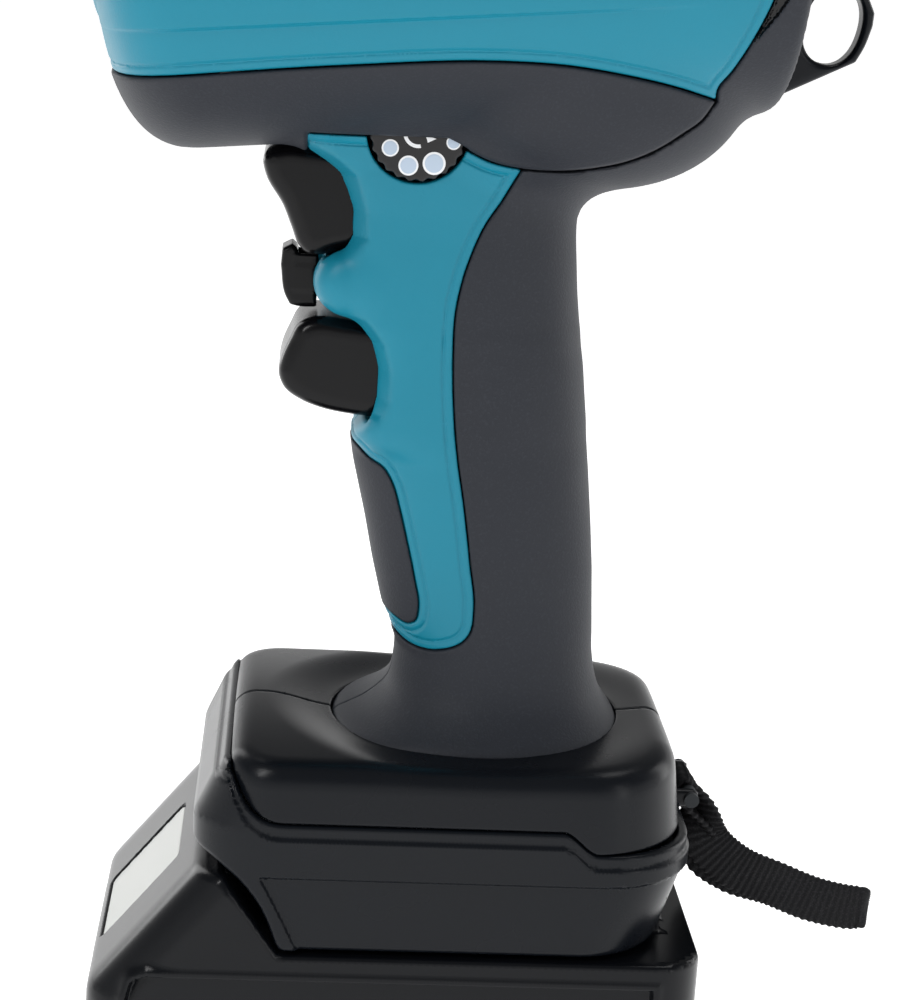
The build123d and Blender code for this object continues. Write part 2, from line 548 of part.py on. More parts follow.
def make_battery():
    shell = battery_form() - battery_form(-BATTERY_WALL)
    lower = shell & box(-80, 80, -60, 60, -1, BATTERY_SPLIT_Z)
    upper = shell & box(-80, 80, -60, 60, BATTERY_SPLIT_Z, 90)

    deck = box(-21.0, 52.0, -21.6, 21.6, BATTERY_TOP_Z - 0.6, 59.6)
    flange = box(-21.0, 52.0, -28.0, 28.0, 55.9, 59.6)
    room = box(-19.0, 50.0, -19.6, 19.6, 44.0, 57.6)
    upper = upper + deck + flange - room
    for y in (-15.0, -6.0, 6.0, 15.0):
        upper -= box(14.0, 60.0, y - 1.1, y + 1.1, 48.0, 61.0)
    slope_run = NOSE_SLOPE_TOP_X - NOSE_SLOPE_FOOT_X
    slope_rise = NOSE_TOP_Z - NOSE_SLOPE_FOOT_Z
    inward = Vector(slope_rise, 0, -slope_run).normalized()
    along = Vector(slope_run, 0, slope_rise).normalized()
    centre = Vector(-50.4, 0, 47.3)
    slope_plane = Plane(origin=centre, x_dir=along, z_dir=inward * -1)
    recess = slope_plane * Box(23.0, 27.2, 1.2)
    label = slope_plane * Pos(0, 0, -0.45) * Box(22.4, 26.6, 0.3)
    upper -= recess
    button_room = box(-62.0, -52.0, -BUTTON_HALF - 0.5, BUTTON_HALF + 0.5, 8.0, 27.0)
    save(one_solid(lower - button_room), "battery_case_lower")
    save(one_solid(upper - button_room - box(-38.2, -33.6, -9.0, 9.0, 58, 70)), "battery_case_upper")
    save(one_solid(label), "battery_label")

    button = box(-58.6, -53.0, -BUTTON_HALF, BUTTON_HALF, 12.4, 26.4)
    for z in (15.4, 18.4, 21.4):
        button -= box(-60.0, -58.0, -BUTTON_HALF + 2, BUTTON_HALF - 2, z, z + 1.2)
    button += box(-55.4, -53.0, -8.0, 8.0, 26.0, 33.0)
    save(one_solid(button), "release_button")
    catch = box(-37.7, -34.1, -8.6, 8.6, 48.0, 64.8)
    save(one_solid(catch), "latch_catch")
    save(group(rings_z(-55.6, -6.0, 10.2, 4.0) + rings_z(-55.6, 6.0, 10.2, 4.0)), "release_spring")

    cells = []
    holders = {"left": box(-48.5, 48.5, -31.8, -24.0, 3.0, 43.0),
               "right": box(-48.5, 48.5, 24.0, 31.8, 3.0, 43.0)}
    for row in range(2):
        for i in range(CELLS_PER_ROW):
            x = (i - 2) * CELL_PITCH
            z = 13.4 + row * CELL_PITCH
            cells.append(rod_y(-CELL_LENGTH / 2, CELL_LENGTH / 2, CELL_R, x, z))
            for side in holders:
                holders[side] -= rod_y(-40, 40, CELL_R + 0.1, x, z)
    save(group(cells), "battery_cells")
    for side, holder in holders.items():
        save(one_solid(holder), f"cell_holder_{side}")
    straps = []
    for side in (-1, 1):
        for i in range(CELLS_PER_ROW):
            y0, y1 = sorted((side * 32.1, side * 32.4))
            straps.append(box((i - 2) * CELL_PITCH - 4, (i - 2) * CELL_PITCH + 4, y0, y1, 8.0, 38.0))
    save(group(straps), "cell_straps")
    save(box(-18.0, 48.0, -19.0, 19.0, 45.0, 46.4), "battery_board")
    contacts = []
    for y in (-15.0, -6.0, 6.0, 15.0):
        for side in (-1, 1):
            y0, y1 = sorted((y + side * 0.6, y + side * 1.0))
            contacts.append(box(20.0, 34.0, y0, y1, 46.4, 57.0))
    save(group(contacts), "battery_contacts")


def rings_z(x, y, z, length):
    """Separate turns of round wire standing for a short upright spring."""
    step = (length - 0.6) / 3
    return [Pos(x, y, z - length / 2 + 0.3 + i * step) * Torus(1.6, 0.28) for i in range(4)]


# ---------------------------------------------------------------- wrist strap
STRAP_TOP = [(57.4, 68.4), (59.4, 68.4), (61.2, 62.8), (64.0, 59.0), (70.0, 57.2),
             (79.5, 54.3), (89.0, 52.6), (95.4, 51.5), (97.6, 49.6)]
STRAP_BOTTOM = [(97.6, 43.6), (96.0, 41.7), (89.9, 42.0), (83.5, 43.8), (77.7, 46.3), (70.8, 48.0),
                (64.0, 50.5), (60.0, 55.0), (57.2, 60.0)]
STRAP_HALF = 2.4


def make_strap():
    outline = STRAP_TOP + STRAP_BOTTOM
    save(one_solid(slab_y(outline, STRAP_HALF)), "wrist_strap")


def main():
    make_housing()
    make_intake()
    make_loop()
    make_nozzle()
    make_motor()
    make_controls()
    make_foot()
    make_leads()
    make_battery()
    make_strap()


main()
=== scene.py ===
import json
import math

import bpy
import numpy as np
import openvdb
from mathutils import Matrix, Vector


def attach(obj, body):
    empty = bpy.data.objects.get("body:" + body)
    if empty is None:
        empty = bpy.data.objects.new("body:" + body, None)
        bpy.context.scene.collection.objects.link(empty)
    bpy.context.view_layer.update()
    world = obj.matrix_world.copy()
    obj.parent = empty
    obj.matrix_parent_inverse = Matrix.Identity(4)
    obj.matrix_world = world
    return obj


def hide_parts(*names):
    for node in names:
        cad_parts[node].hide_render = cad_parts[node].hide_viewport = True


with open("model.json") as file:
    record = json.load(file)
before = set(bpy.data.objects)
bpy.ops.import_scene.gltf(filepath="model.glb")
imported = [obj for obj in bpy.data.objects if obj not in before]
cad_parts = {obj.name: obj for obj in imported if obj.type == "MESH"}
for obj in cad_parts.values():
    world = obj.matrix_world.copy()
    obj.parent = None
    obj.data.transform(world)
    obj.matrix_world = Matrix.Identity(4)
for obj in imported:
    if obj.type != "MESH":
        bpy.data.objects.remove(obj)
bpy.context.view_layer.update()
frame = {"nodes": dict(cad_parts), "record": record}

# Shapes are worked out in millimetres, in the frame's own axes, and become metres in add_mesh.
MM = 0.001


# ---- fields
# A field is negative inside a shape and about the distance to its surface outside.
def smax(a, b, k):
    h = np.clip(0.5 + 0.5 * (a - b) / k, 0.0, 1.0)
    return b + (a - b) * h + k * h * (1.0 - h)


def smin(a, b, k):
    return -smax(-a, -b, k)


def ease(v, start, end):
    t = np.clip((v - start) / (end - start), 0.0, 1.0)
    return t * t * (3.0 - 2.0 * t)


def oval(dx, dy, a, b, n):
    px, py = np.abs(dx) / a + 1e-6, np.abs(dy) / b + 1e-6
    k = (px**n + py**n) ** (1.0 / n)
    slope = np.sqrt((px ** (n - 1) / a) ** 2 + (py ** (n - 1) / b) ** 2) / k ** (n - 1)
    return (k - 1.0) / slope


def egg(dx, dy, dz, axes, n=2.0):
    parts = [np.abs(d) / a + 1e-6 for d, a in zip((dx, dy, dz), axes)]
    k = sum(p**n for p in parts) ** (1.0 / n)
    slope = np.sqrt(sum((p ** (n - 1) / a) ** 2 for p, a in zip(parts, axes))) / k ** (n - 1)
    return (k - 1.0) / slope


def block(x, y, z, low, high, r=0.0):
    qx = np.abs(x - (low[0] + high[0]) / 2) - (high[0] - low[0]) / 2 + r
    qy = np.abs(y - (low[1] + high[1]) / 2) - (high[1] - low[1]) / 2 + r
    qz = np.abs(z - (low[2] + high[2]) / 2) - (high[2] - low[2]) / 2 + r
    out = np.sqrt(np.maximum(qx, 0) ** 2 + np.maximum(qy, 0) ** 2 + np.maximum(qz, 0) ** 2)
    return out + np.minimum(np.maximum(np.maximum(qx, qy), qz), 0.0) - r


def plan(x, y, x0, x1, half, r_front, r_rear):
    """A rounded rectangle seen from above, with its own corner radius at each end."""
    middle = (x0 + x1) / 2
    r = np.where(x < middle, r_front, r_rear)
    qx = np.abs(x - middle) - (x1 - x0) / 2 + r
    qy = np.abs(y) - half + r
    return np.sqrt(np.maximum(qx, 0) ** 2 + np.maximum(qy, 0) ** 2) + np.minimum(np.maximum(qx, qy), 0) - r


def rounded_line(points, steps=6):
    """A smooth line through points; two points stay a straight run."""
    p = np.array(points, float)
    if len(p) < 3:
        return p
    h = np.linalg.norm(np.diff(p, axis=0), axis=1)[:, None]
    d = np.diff(p, axis=0) / h
    m = np.vstack([d[:1], (d[1:] * h[:-1] + d[:-1] * h[1:]) / (h[1:] + h[:-1]), d[-1:]])
    out = []
    for i in range(len(p) - 1):
        for s in np.arange(steps) / steps:
            a, b = (1 + 2 * s) * (1 - s) ** 2, s * s * (3 - 2 * s)
            c, e = s * (1 - s) ** 2 * h[i], s * s * (s - 1) * h[i]
            out.append(a * p[i] + b * p[i + 1] + c * m[i] + e * m[i + 1])
    return np.vstack([out, p[-1:]])


class Region:
    """A closed side-view outline (x, z), as a table of signed distances.

    A run is a list of points on a smooth line, or one corner. Straight lines join the runs.
    """

    def __init__(self, *runs, cell=0.4, margin=8.0):
        pts = np.vstack([rounded_line(run) for run in runs])
        keep = np.linalg.norm(pts - np.roll(pts, 1, axis=0), axis=1) > 1e-6
        pts = pts[keep]
        self.low, self.cell = pts.min(0) - margin, cell
        size = np.ceil((pts.max(0) + margin - self.low) / cell).astype(int) + 1
        gx, gz = np.meshgrid(*(self.low[i] + cell * np.arange(size[i]) for i in (0, 1)), indexing="ij")
        far = np.full(gx.shape, 1e9)
        inside = np.zeros(gx.shape, bool)
        for (ax, az), (bx, bz) in zip(pts, np.roll(pts, -1, axis=0)):
            ex, ez = bx - ax, bz - az
            t = np.clip(((gx - ax) * ex + (gz - az) * ez) / (ex * ex + ez * ez), 0, 1)
            far = np.minimum(far, (gx - ax - t * ex) ** 2 + (gz - az - t * ez) ** 2)
            if ez:
                crosses = ((az > gz) != (bz > gz)) & (gx < ax + (gz - az) * ex / ez)
                inside ^= crosses
        self.table = np.where(inside, -1.0, 1.0) * np.sqrt(far)

    def __call__(self, x, z):
        fx, fz = (x - self.low[0]) / self.cell, (z - self.low[1]) / self.cell
        nx, nz = self.table.shape
        cx, cz = np.clip(fx, 0, nx - 1.001), np.clip(fz, 0, nz - 1.001)
        i, j = cx.astype(int), cz.astype(int)
        s, t, k = cx - i, cz - j, self.table
        low_row = k[i, j] * (1 - s) + k[i + 1, j] * s
        high_row = k[i, j + 1] * (1 - s) + k[i + 1, j + 1] * s
        return low_row * (1 - t) + high_row * t + self.cell * np.hypot(fx - cx, fz - cz)


# ---- meshing
BLOCK = 8                       # a grid is worked out in blocks of this many cells a side
HALF_DIAGONAL = 0.87            # of a block, as a share of its side
AT_ONCE = 400000                # points in one call of a field
LEAST_SLOPE = 0.3               # squared, so that a flat field can't throw a point far away
MOST_MOVE = 0.8


def grid_mesh(field, low, high, voxel):
    """Triangles of the zero surface of a field inside a box."""
    low = np.array(low, float)
    limit = 3 * voxel
    blocks = np.ceil((np.array(high) - low) / (voxel * BLOCK)).astype(int)
    index = np.stack(np.meshgrid(*(np.arange(b) for b in blocks), indexing="ij"), -1).reshape(-1, 3)
    middle = low + (index * BLOCK + (BLOCK - 1) / 2) * voxel
    rough = field(middle)
    near = np.abs(rough) < 1.5 * voxel * BLOCK * HALF_DIAGONAL
    inner = np.stack(np.meshgrid(*(np.arange(BLOCK),) * 3, indexing="ij"), -1).reshape(1, -1, 3)
    dense = np.repeat(np.sign(rough)[:, None] * limit, BLOCK**3, axis=1).astype(np.float32)
    points = (low + (index[near][:, None] * BLOCK + inner) * voxel).reshape(-1, 3)
    values = np.concatenate([field(part) for part in np.array_split(points, len(points) // AT_ONCE + 1)])
    dense[near] = np.clip(values, -limit, limit).reshape(-1, BLOCK**3)
    dense = dense.reshape(*blocks, BLOCK, BLOCK, BLOCK).transpose(0, 3, 1, 4, 2, 5).reshape(blocks * BLOCK)
    grid = openvdb.FloatGrid()
    grid.background = limit
    grid.copyFromArray(np.ascontiguousarray(dense))
    verts, quads = grid.convertToQuads(0.0)
    quads = quads.astype(int)
    return low + verts.astype(float) * voxel, np.vstack([quads[:, [0, 1, 2]], quads[:, [0, 2, 3]]])


def slope(field, v, step=0.04):
    g = np.empty_like(v)
    for axis in range(3):
        a, b = v.copy(), v.copy()
        a[:, axis] += step
        b[:, axis] -= step
        g[:, axis] = (field(a) - field(b)) / (2 * step)
    return g


def settle(field, v, rounds):
    """Moves points onto the field's zero surface."""
    for _ in range(rounds):
        g = slope(field, v)
        move = g * (field(v) / np.maximum((g * g).sum(1), LEAST_SLOPE))[:, None]
        size = np.linalg.norm(move, axis=1, keepdims=True)
        v = v - move * np.minimum(1.0, MOST_MOVE / np.maximum(size, 1e-9))
    return v


def split_edges(v, tris, wanted):
    """Splits each triangle edge that is longer than is wanted there."""
    pairs = np.stack([tris, np.roll(tris, -1, axis=1)], -1).reshape(-1, 2)
    edges, inverse = np.unique(np.sort(pairs, axis=1), axis=0, return_inverse=True)
    length = np.linalg.norm(v[edges[:, 0]] - v[edges[:, 1]], axis=1)
    long = length > 1.45 * np.minimum(wanted[edges[:, 0]], wanted[edges[:, 1]])
    number = np.full(len(edges), -1)
    number[long] = len(v) + np.arange(long.sum())
    fresh = (v[edges[long, 0]] + v[edges[long, 1]]) / 2
    mid = number[inverse.reshape(-1)].reshape(-1, 3)
    cut = mid >= 0
    count = cut.sum(1)
    out = [tris[count == 0]]
    for shift in range(3):
        t, m, c = np.roll(tris, -shift, axis=1), np.roll(mid, -shift, axis=1), np.roll(cut, -shift, axis=1)
        one = (count == 1) & c[:, 0]
        two = (count == 2) & ~c[:, 2]
        for where, faces in ((one, ((0, 3, 2), (3, 1, 2))), (two, ((3, 1, 4), (0, 3, 4), (0, 4, 2)))):
            full = np.hstack([t[where], m[where]])
            out += [full[:, list(face)] for face in faces]
    full = np.hstack([tris, mid])[count == 3]
    out += [full[:, list(face)] for face in ((0, 3, 5), (3, 1, 4), (5, 4, 2), (3, 4, 5))]
    return np.vstack([v, fresh]), np.vstack(out), long.sum()


def surface(field, low, high, voxel, detail=None, passes=3):
    """Points, triangles and normals of a field's surface, with shorter edges where detail asks for them."""
    v, tris = grid_mesh(field, low, high, voxel)
    v = settle(field, v, 3)
    if detail is not None:
        for _ in range(passes):
            start = len(v)
            v, tris, added = split_edges(v, tris, detail(v))
            if not added:
                break
            v[start:] = settle(field, v[start:], 3)
    g = slope(field, v, 0.08)
    return v, tris, g / np.maximum(np.linalg.norm(g, axis=1, keepdims=True), 1e-9)


def add_mesh(name, v, tris, normals=None, sharp=None):
    mesh = bpy.data.meshes.new(name)
    mesh.vertices.add(len(v))
    mesh.vertices.foreach_set("co", (np.asarray(v) * MM).astype(np.float32).ravel())
    tris = np.asarray(tris)
    width = tris.shape[1]
    mesh.loops.add(tris.size)
    mesh.loops.foreach_set("vertex_index", tris.astype(np.int32).ravel())
    mesh.polygons.add(len(tris))
    mesh.polygons.foreach_set("loop_start", (np.arange(len(tris)) * width).astype(np.int32))
    mesh.update(calc_edges=True)
    mesh.validate()
    mesh.shade_smooth()
    if normals is not None:
        mesh.normals_split_custom_set_from_vertices(np.asarray(normals).tolist())
    if sharp is not None:
        mesh.set_sharp_from_angle(angle=math.radians(sharp))
    obj = bpy.data.objects.new(name, mesh)
    bpy.context.scene.collection.objects.link(obj)
    return obj


def fit_in(obj, body, slot, *nodes, finish=None):
    """Gives a piece its body and material (the slot's own, where no finish is given), and hides the CAD nodes
    that it stands for.
    """
    for item in finish or [BY_SLOT[slot]]:
        obj.data.materials.append(item)
    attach(obj, body)
    if nodes:
        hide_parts(*nodes)


def put(name, data, body, slot, *nodes, finish=None):
    """Adds a worked-out surface as a piece."""
    piece = add_mesh(name, *data)
    fit_in(piece, body, slot, *nodes, finish=finish)
    return piece


def put_pair(name, data, slot, node):
    """Adds a piece of the left half, and its mirror image on the right."""
    put(f"{name}_left", data, "main_body", slot, f"{node}_left")
    put(f"{name}_right", mirrored(data), "main_body", slot, f"{node}_right")


def mirrored(data):
    v, tris, normals = data
    flip = np.array([1.0, -1.0, 1.0])
    return v * flip, tris[:, ::-1], normals * flip


def paint(obj, chosen, index=1):
    """Gives the faces whose middle passes a test another of the piece's materials."""
    n = len(obj.data.polygons)
    middle = np.zeros(n * 3, np.float32)
    obj.data.polygons.foreach_get("center", middle)
    middle = middle.reshape(-1, 3) / MM
    picked = np.zeros(n, np.int32)
    obj.data.polygons.foreach_get("material_index", picked)
    picked[chosen(*middle.T)] = index
    obj.data.polygons.foreach_set("material_index", picked)
    obj.data.update()


# ---- materials
def colour(r, g, b):
    """A colour given as it looks on a screen, 0 to 255, for a shader."""
    screen = [c / 255 for c in (r, g, b)]
    return (*(c / 12.92 if c <= 10 / 255 else ((c + 0.055) / 1.055) ** 2.4 for c in screen), 1.0)


def scaled(base, factor, lift=0.0):
    return (*(min(1.0, c * factor + lift) for c in base[:3]), 1.0)


def set_inputs(node, values):
    for socket, value in values.items():
        node.inputs[socket].default_value = value


def add_noise(tree, place, size_mm, detail):
    noise = tree.nodes.new("ShaderNodeTexNoise")
    set_inputs(noise, {"Scale": 1000.0 / size_mm, "Detail": detail})
    tree.links.new(place.outputs["Object"], noise.inputs["Vector"])
    return noise.outputs["Fac"]


def add_range(tree, value, limits):
    node = tree.nodes.new("ShaderNodeMapRange")
    set_inputs(node, limits)
    tree.links.new(value, node.inputs["Value"])
    return node.outputs["Result"]


def add_mix(tree, factor, end_colour):
    mix = tree.nodes.new("ShaderNodeMix")
    mix.data_type = "RGBA"
    mix.inputs["B"].default_value = end_colour
    tree.links.new(factor, mix.inputs["Factor"])
    return mix


def material(name, screen, rough, metal=0.0, grain=0.0, grain_mm=0.5, vary=0.06, fleck=0.0, patch_mm=18.0,
             shine=0.5):
    """A plastic, rubber or metal with uneven colour, uneven gloss and a fine grain."""
    base = colour(*screen)
    mat = bpy.data.materials.new(name)
    mat.use_nodes = True
    tree = mat.node_tree
    shader = tree.nodes["Principled BSDF"]
    set_inputs(shader, {"Metallic": metal, "Specular IOR Level": shine})
    place = tree.nodes.new("ShaderNodeTexCoord")
    patches = add_noise(tree, place, patch_mm, 4.0)
    fine = add_noise(tree, place, grain_mm, 3.0)
    blend = add_mix(tree, patches, scaled(base, 1 + vary))
    blend.inputs["A"].default_value = scaled(base, 1 - vary)
    tint = blend.outputs["Result"]
    if fleck:
        spots = add_range(tree, fine, {"From Min": 0.52, "From Max": 0.72, "To Max": fleck})
        flecked = add_mix(tree, spots, scaled(base, 2.6, 0.02))
        tree.links.new(tint, flecked.inputs["A"])
        tint = flecked.outputs["Result"]
    tree.links.new(tint, shader.inputs["Base Color"])
    gloss = add_range(tree, patches, {"To Min": rough * 0.88, "To Max": min(1.0, rough * 1.12)})
    tree.links.new(gloss, shader.inputs["Roughness"])
    if grain:
        bump = tree.nodes.new("ShaderNodeBump")
        set_inputs(bump, {"Strength": grain, "Distance": 0.0001})
        tree.links.new(fine, bump.inputs["Height"])
        tree.links.new(bump.outputs["Normal"], shader.inputs["Normal"])
    return mat


FOOT = material("satin_black_plastic", (15, 18, 23), 0.27, grain=0.2, grain_mm=0.4, vary=0.08, shine=0.2)
# Near-black colour for the groove behind the barrel's shell: painted shade standing in for the recess's
# shadow, darker than the rubber around it
RECESS_SHADE = material("recess_painted_shade", (8, 8, 10), 0.16, grain=0.05, vary=0.05, shine=0.35)
WHITE = material("printed_white", (240, 242, 244), 0.5, grain=0.1, vary=0.02)
PALE = material("printed_pale_blue", (188, 204, 222), 0.5, grain=0.1, vary=0.03)

BY_SLOT = {
    "housing_teal": material("teal_plastic", (10, 126, 150), 0.42, grain=0.35, grain_mm=0.45, vary=0.04,
                             shine=0.35),
    "soft_grip": material("speckled_elastomer", (38, 41, 48), 0.58, grain=0.7, fleck=0.12, vary=0.05,
                          shine=0.3),
    "foot_black": FOOT,
    "nozzle_black": FOOT,
    "control_black": material("gloss_black_plastic", (8, 8, 10), 0.22, grain=0.08, vary=0.08, shine=0.22),
    "dial_black": material("dial_black_plastic", (15, 14, 16), 0.42, grain=0.25, grain_mm=0.3, vary=0.1),
    "battery_black": material("battery_black_plastic", (11, 13, 17), 0.22, grain=0.12, grain_mm=0.4,
                              vary=0.08, shine=0.2),
    "label_grey": material("silver_label", (196, 198, 194), 0.38, grain=0.25, grain_mm=0.25, vary=0.03),
    "filter_mesh": material("filter_mesh_black", (38, 38, 40), 0.7, grain=0.5),
    "screw_steel": material("zinc_plated_steel", (190, 192, 194), 0.32, 1.0, 0.3, 0.4),
    "shaft_steel": material("ground_steel", (205, 206, 208), 0.2, 1.0, 0.15, 0.3),
    "magnet": material("nickel_magnet", (150, 150, 148), 0.35, 1.0, 0.3),
    "lamination": material("laminated_steel", (110, 112, 116), 0.45, 1.0, 0.6, 0.35),
    "copper": material("enamelled_copper", (184, 98, 52), 0.34, 1.0, 0.5, 0.6),
    "contact_brass": material("contact_brass", (200, 166, 96), 0.3, 1.0, 0.3),
    "aluminium": material("cast_aluminium", (170, 172, 175), 0.5, 1.0, 0.6, 0.5),
    "duct_plastic": material("moulded_grey_nylon", (72, 75, 80), 0.55, grain=0.4),
    "mount_rubber": material("mount_rubber", (30, 30, 31), 0.8, grain=0.5),
    "board_green": material("green_solder_mask", (22, 92, 58), 0.35, grain=0.3, grain_mm=0.8, vary=0.15,
                            patch_mm=4.0),
    "chip_black": material("epoxy_black", (24, 24, 26), 0.5, grain=0.5, grain_mm=0.3),
    "lead_red": material("red_silicone_lead", (170, 32, 28), 0.48, grain=0.25),
    "cell_wrap": material("cell_wrap", (58, 120, 84), 0.38, grain=0.15, patch_mm=9.0),
}
for entry in frame["record"]["materials"]:
    if entry["slot"] in BY_SLOT:
        for part_name in entry.get("nodes", []):
            node_mesh = frame["nodes"][part_name].data
            node_mesh.materials.clear()
            node_mesh.materials.append(BY_SLOT[entry["slot"]])


# ---- outer form of the housing
TILT = math.radians(5.6)        # the barrel's axis falls towards the nozzle
BARREL_Z = 242.5                # height of the axis at x = 0
BARREL_R = 43.6
BARREL_SQUARENESS = 2.4
DOME_FROM = -45.0               # along the axis, where the nose starts to close
DOME_LENGTH = 19.0
DOME_FULLNESS = 2.9
BOSS_R = 19.6                   # ring that the nozzle sits in
BOSS_FRONT = -63.6
REAR_X = 61.5
INTAKE_Z = 247.4
INTAKE_R = 37.8
BORE_R = 37.95                  # hole in the housing for the intake's plate
SEAM = 0.05                     # half the gap between the two halves of the housing
GAP = 0.12                      # from a side view's edge back to the piece's own edge
WALL = 2.0
INSERT_THICK = 1.1

# Level cuts of the grip: height, front, rear and half of the width
GRIP_SECTIONS = np.array([
    (82.0, -13.6, 42.6, 25.8), (83.8, -13.6, 42.6, 25.8), (84.8, -10.6, 42.2, 25.0),
    (86.0, -8.2, 41.7, 24.0), (87.6, -6.0, 40.4, 22.4), (90.2, -3.2, 38.9, 20.2), (92.4, -2.2, 38.1, 19.0),
    (95.1, -1.8, 37.4, 18.1), (99.5, -1.7, 36.7, 17.4), (102.3, -2.8, 36.6, 17.2), (106.8, -4.8, 36.3, 17.0),
    (115.8, -7.1, 35.7, 17.0), (124.6, -9.0, 34.8, 17.0), (135.8, -11.8, 33.5, 17.0),
    (139.5, -12.4, 33.0, 17.0), (141.3, -12.7, 32.8, 17.0), (143.4, -11.6, 32.5, 17.0),
    (146.2, -9.4, 32.3, 17.0), (150.1, -8.6, 31.8, 17.0), (155.9, -8.5, 31.1, 17.0),
    (160.9, -10.0, 30.2, 17.0), (164.0, -13.0, 29.8, 17.0), (170.0, -14.4, 29.0, 17.0),
    (180.7, -15.0, 28.0, 17.0), (185.0, -14.5, 27.9, 17.2), (188.5, -15.6, 28.6, 17.6),
    (192.1, -17.6, 29.4, 18.0), (195.6, -20.8, 30.0, 18.4), (199.0, -22.0, 30.0, 18.4),
    (215.0, -22.0, 30.0, 18.4),
])
GRIP_TOP = 222.0                # the grip's form ends inside the barrel
HEIGHT_STEP = 0.25
HEIGHTS = np.arange(70.0, 230.0, HEIGHT_STEP)
SPREAD = 12                     # steps on each side that a height is smoothed over
SMOOTHING = np.exp(-0.5 * (np.arange(-SPREAD, SPREAD + 1) * HEIGHT_STEP / 0.9) ** 2)


def height_table(column):
    raw = np.interp(HEIGHTS, GRIP_SECTIONS[:, 0], GRIP_SECTIONS[:, column])
    padded = np.pad(raw, SPREAD, mode="edge")
    return np.convolve(padded, SMOOTHING / SMOOTHING.sum(), mode="valid")


GRIP_FRONT, GRIP_REAR, GRIP_HALF = (height_table(c) for c in (1, 2, 3))
GRIP_STEEP = np.hypot(1.0, np.maximum(*(np.abs(np.gradient(t, HEIGHTS)) for t in (GRIP_FRONT, GRIP_HALF))))
# Creases behind the two finger rooms, where the sides start to fall away towards the triggers
CREASE = np.array([(143.0, -8.0), (146.8, -6.3), (150.1, -5.5), (155.7, -5.6), (160.6, -7.0), (164.9, -10.3),
                   (168.0, -16.0), (173.0, -16.0), (176.2, -13.2), (180.3, -11.2), (185.2, -11.5),
                   (191.6, -14.0), (196.7, -20.0), (200.0, -26.0)])


def along_barrel(x, z):
    """Distance along the barrel's axis, and above it."""
    u = x * math.cos(TILT) + (z - BARREL_Z) * math.sin(TILT)
    w = -x * math.sin(TILT) + (z - BARREL_Z) * math.cos(TILT)
    return u, w


def barrel(x, y, z):
    u, w = along_barrel(x, z)
    shoulder = 0.9 * ease(w, -20.4, -19.6) * (1 - ease(u, 20.0, 45.0))
    radius = BARREL_R + shoulder - 1.4 * ease(u, 25.0, 66.0)
    n, m = BARREL_SQUARENESS, DOME_FULLNESS
    across = ((np.abs(y) + 1e-6) ** n + (np.abs(w) + 1e-6) ** n) ** (1 / n)
    du = np.abs(np.minimum(u - DOME_FROM, 0.0)) / DOME_LENGTH
    reach = across / radius
    k = (du**m + reach**m) ** (1 / m)
    steep = np.hypot((du / k) ** (m - 1) / DOME_LENGTH, (reach / k) ** (m - 1) / radius)
    body = (k - 1.0) / steep
    boss = smax(np.hypot(y, w) - BOSS_R, BOSS_FRONT - u, 1.6)
    shape = smin(body, boss, 3.0)
    return smax(shape, x - REAR_X, 3.0)


def grip(x, y, z):
    tables = (GRIP_FRONT, GRIP_REAR, GRIP_HALF, GRIP_STEEP)
    front, rear, half, steep = (np.interp(z, HEIGHTS, table) for table in tables)
    middle = (front + rear) / 2
    squareness = 2.3 + 5.0 * ease(z, 137.0, 150.0) * (1 - ease(z, 200.0, 206.0)) * (x < middle)
    body = oval(x - middle, y, (rear - front) / 2, half, squareness) / steep
    crease = np.interp(z, CREASE[:, 0], CREASE[:, 1])
    by_triggers = ease(z, 141.0, 147.0) * (1 - ease(z, 196.0, 202.0))
    fall = np.abs(y) - 16.4 - 1.6 * (x - crease) - 12.0 * (1 - by_triggers)
    body = smax(body, fall / 1.9, 0.5)
    body = smax(body, z - GRIP_TOP, 4.0)
    nub = smax(oval(x + 13.4, z - 171.3, 7.6, 6.7, 2.0), np.abs(y) - 16.3, 6.5)
    return smin(body, nub, 2.0)


def outer(x, y, z):
    bulge = egg(x - 27.5, y, z - 217.0, (32.0, 33.0, 27.0), 2.3)
    return smin(smin(barrel(x, y, z), bulge, 3.0), grip(x, y, z), 7.0)


# Side views of the soft parts and of the glossy recess behind the barrel's shell, whose near-black colour is
# painted shade
PARTING = [(-75.0, 206.5), (-50.7, 209.3), (-16.8, 213.2), (9.0, 215.2), (20.6, 215.0),
           (30.8, 213.8), (41.1, 211.8), (48.6, 209.6)]
BELLY_EDGE = [(48.6, 209.6), (46.5, 206.0), (43.0, 203.3), (39.0, 200.4), (33.9, 197.8),
              (28.7, 196.2), (23.5, 195.2), (15.6, 195.0), (10.3, 195.8), (2.0, 199.6)]
SHELL_REAR = [(48.6, 209.6), (48.3, 211.4), (50.2, 215.6), (52.1, 220.2), (54.7, 227.8), (57.0, 238.0),
              (58.0, 262.0), (57.6, 300.0)]
GRIP_SPLIT = [(15.6, 195.0), (12.9, 189.2), (9.8, 184.0), (7.6, 178.4), (6.1, 172.8), (5.3, 167.2),
              (5.3, 160.7), (6.2, 147.7), (7.3, 139.8), (9.0, 130.9), (10.8, 119.7), (12.1, 110.4),
              (11.6, 105.6), (10.3, 103.7), (7.4, 102.0), (-0.2, 101.3), (-2.6, 102.2), (-25.0, 102.2)]
INSERT_EDGE = [(-20.0, 139.9), (-11.6, 139.9), (-9.2, 137.9), (-6.2, 136.4), (-4.5, 133.8), (-2.9, 129.0),
               (-1.2, 122.7), (0.5, 115.9), (1.7, 109.0), (1.3, 106.7), (0.1, 105.6), (-3.2, 106.2),
               (-20.0, 106.2)]

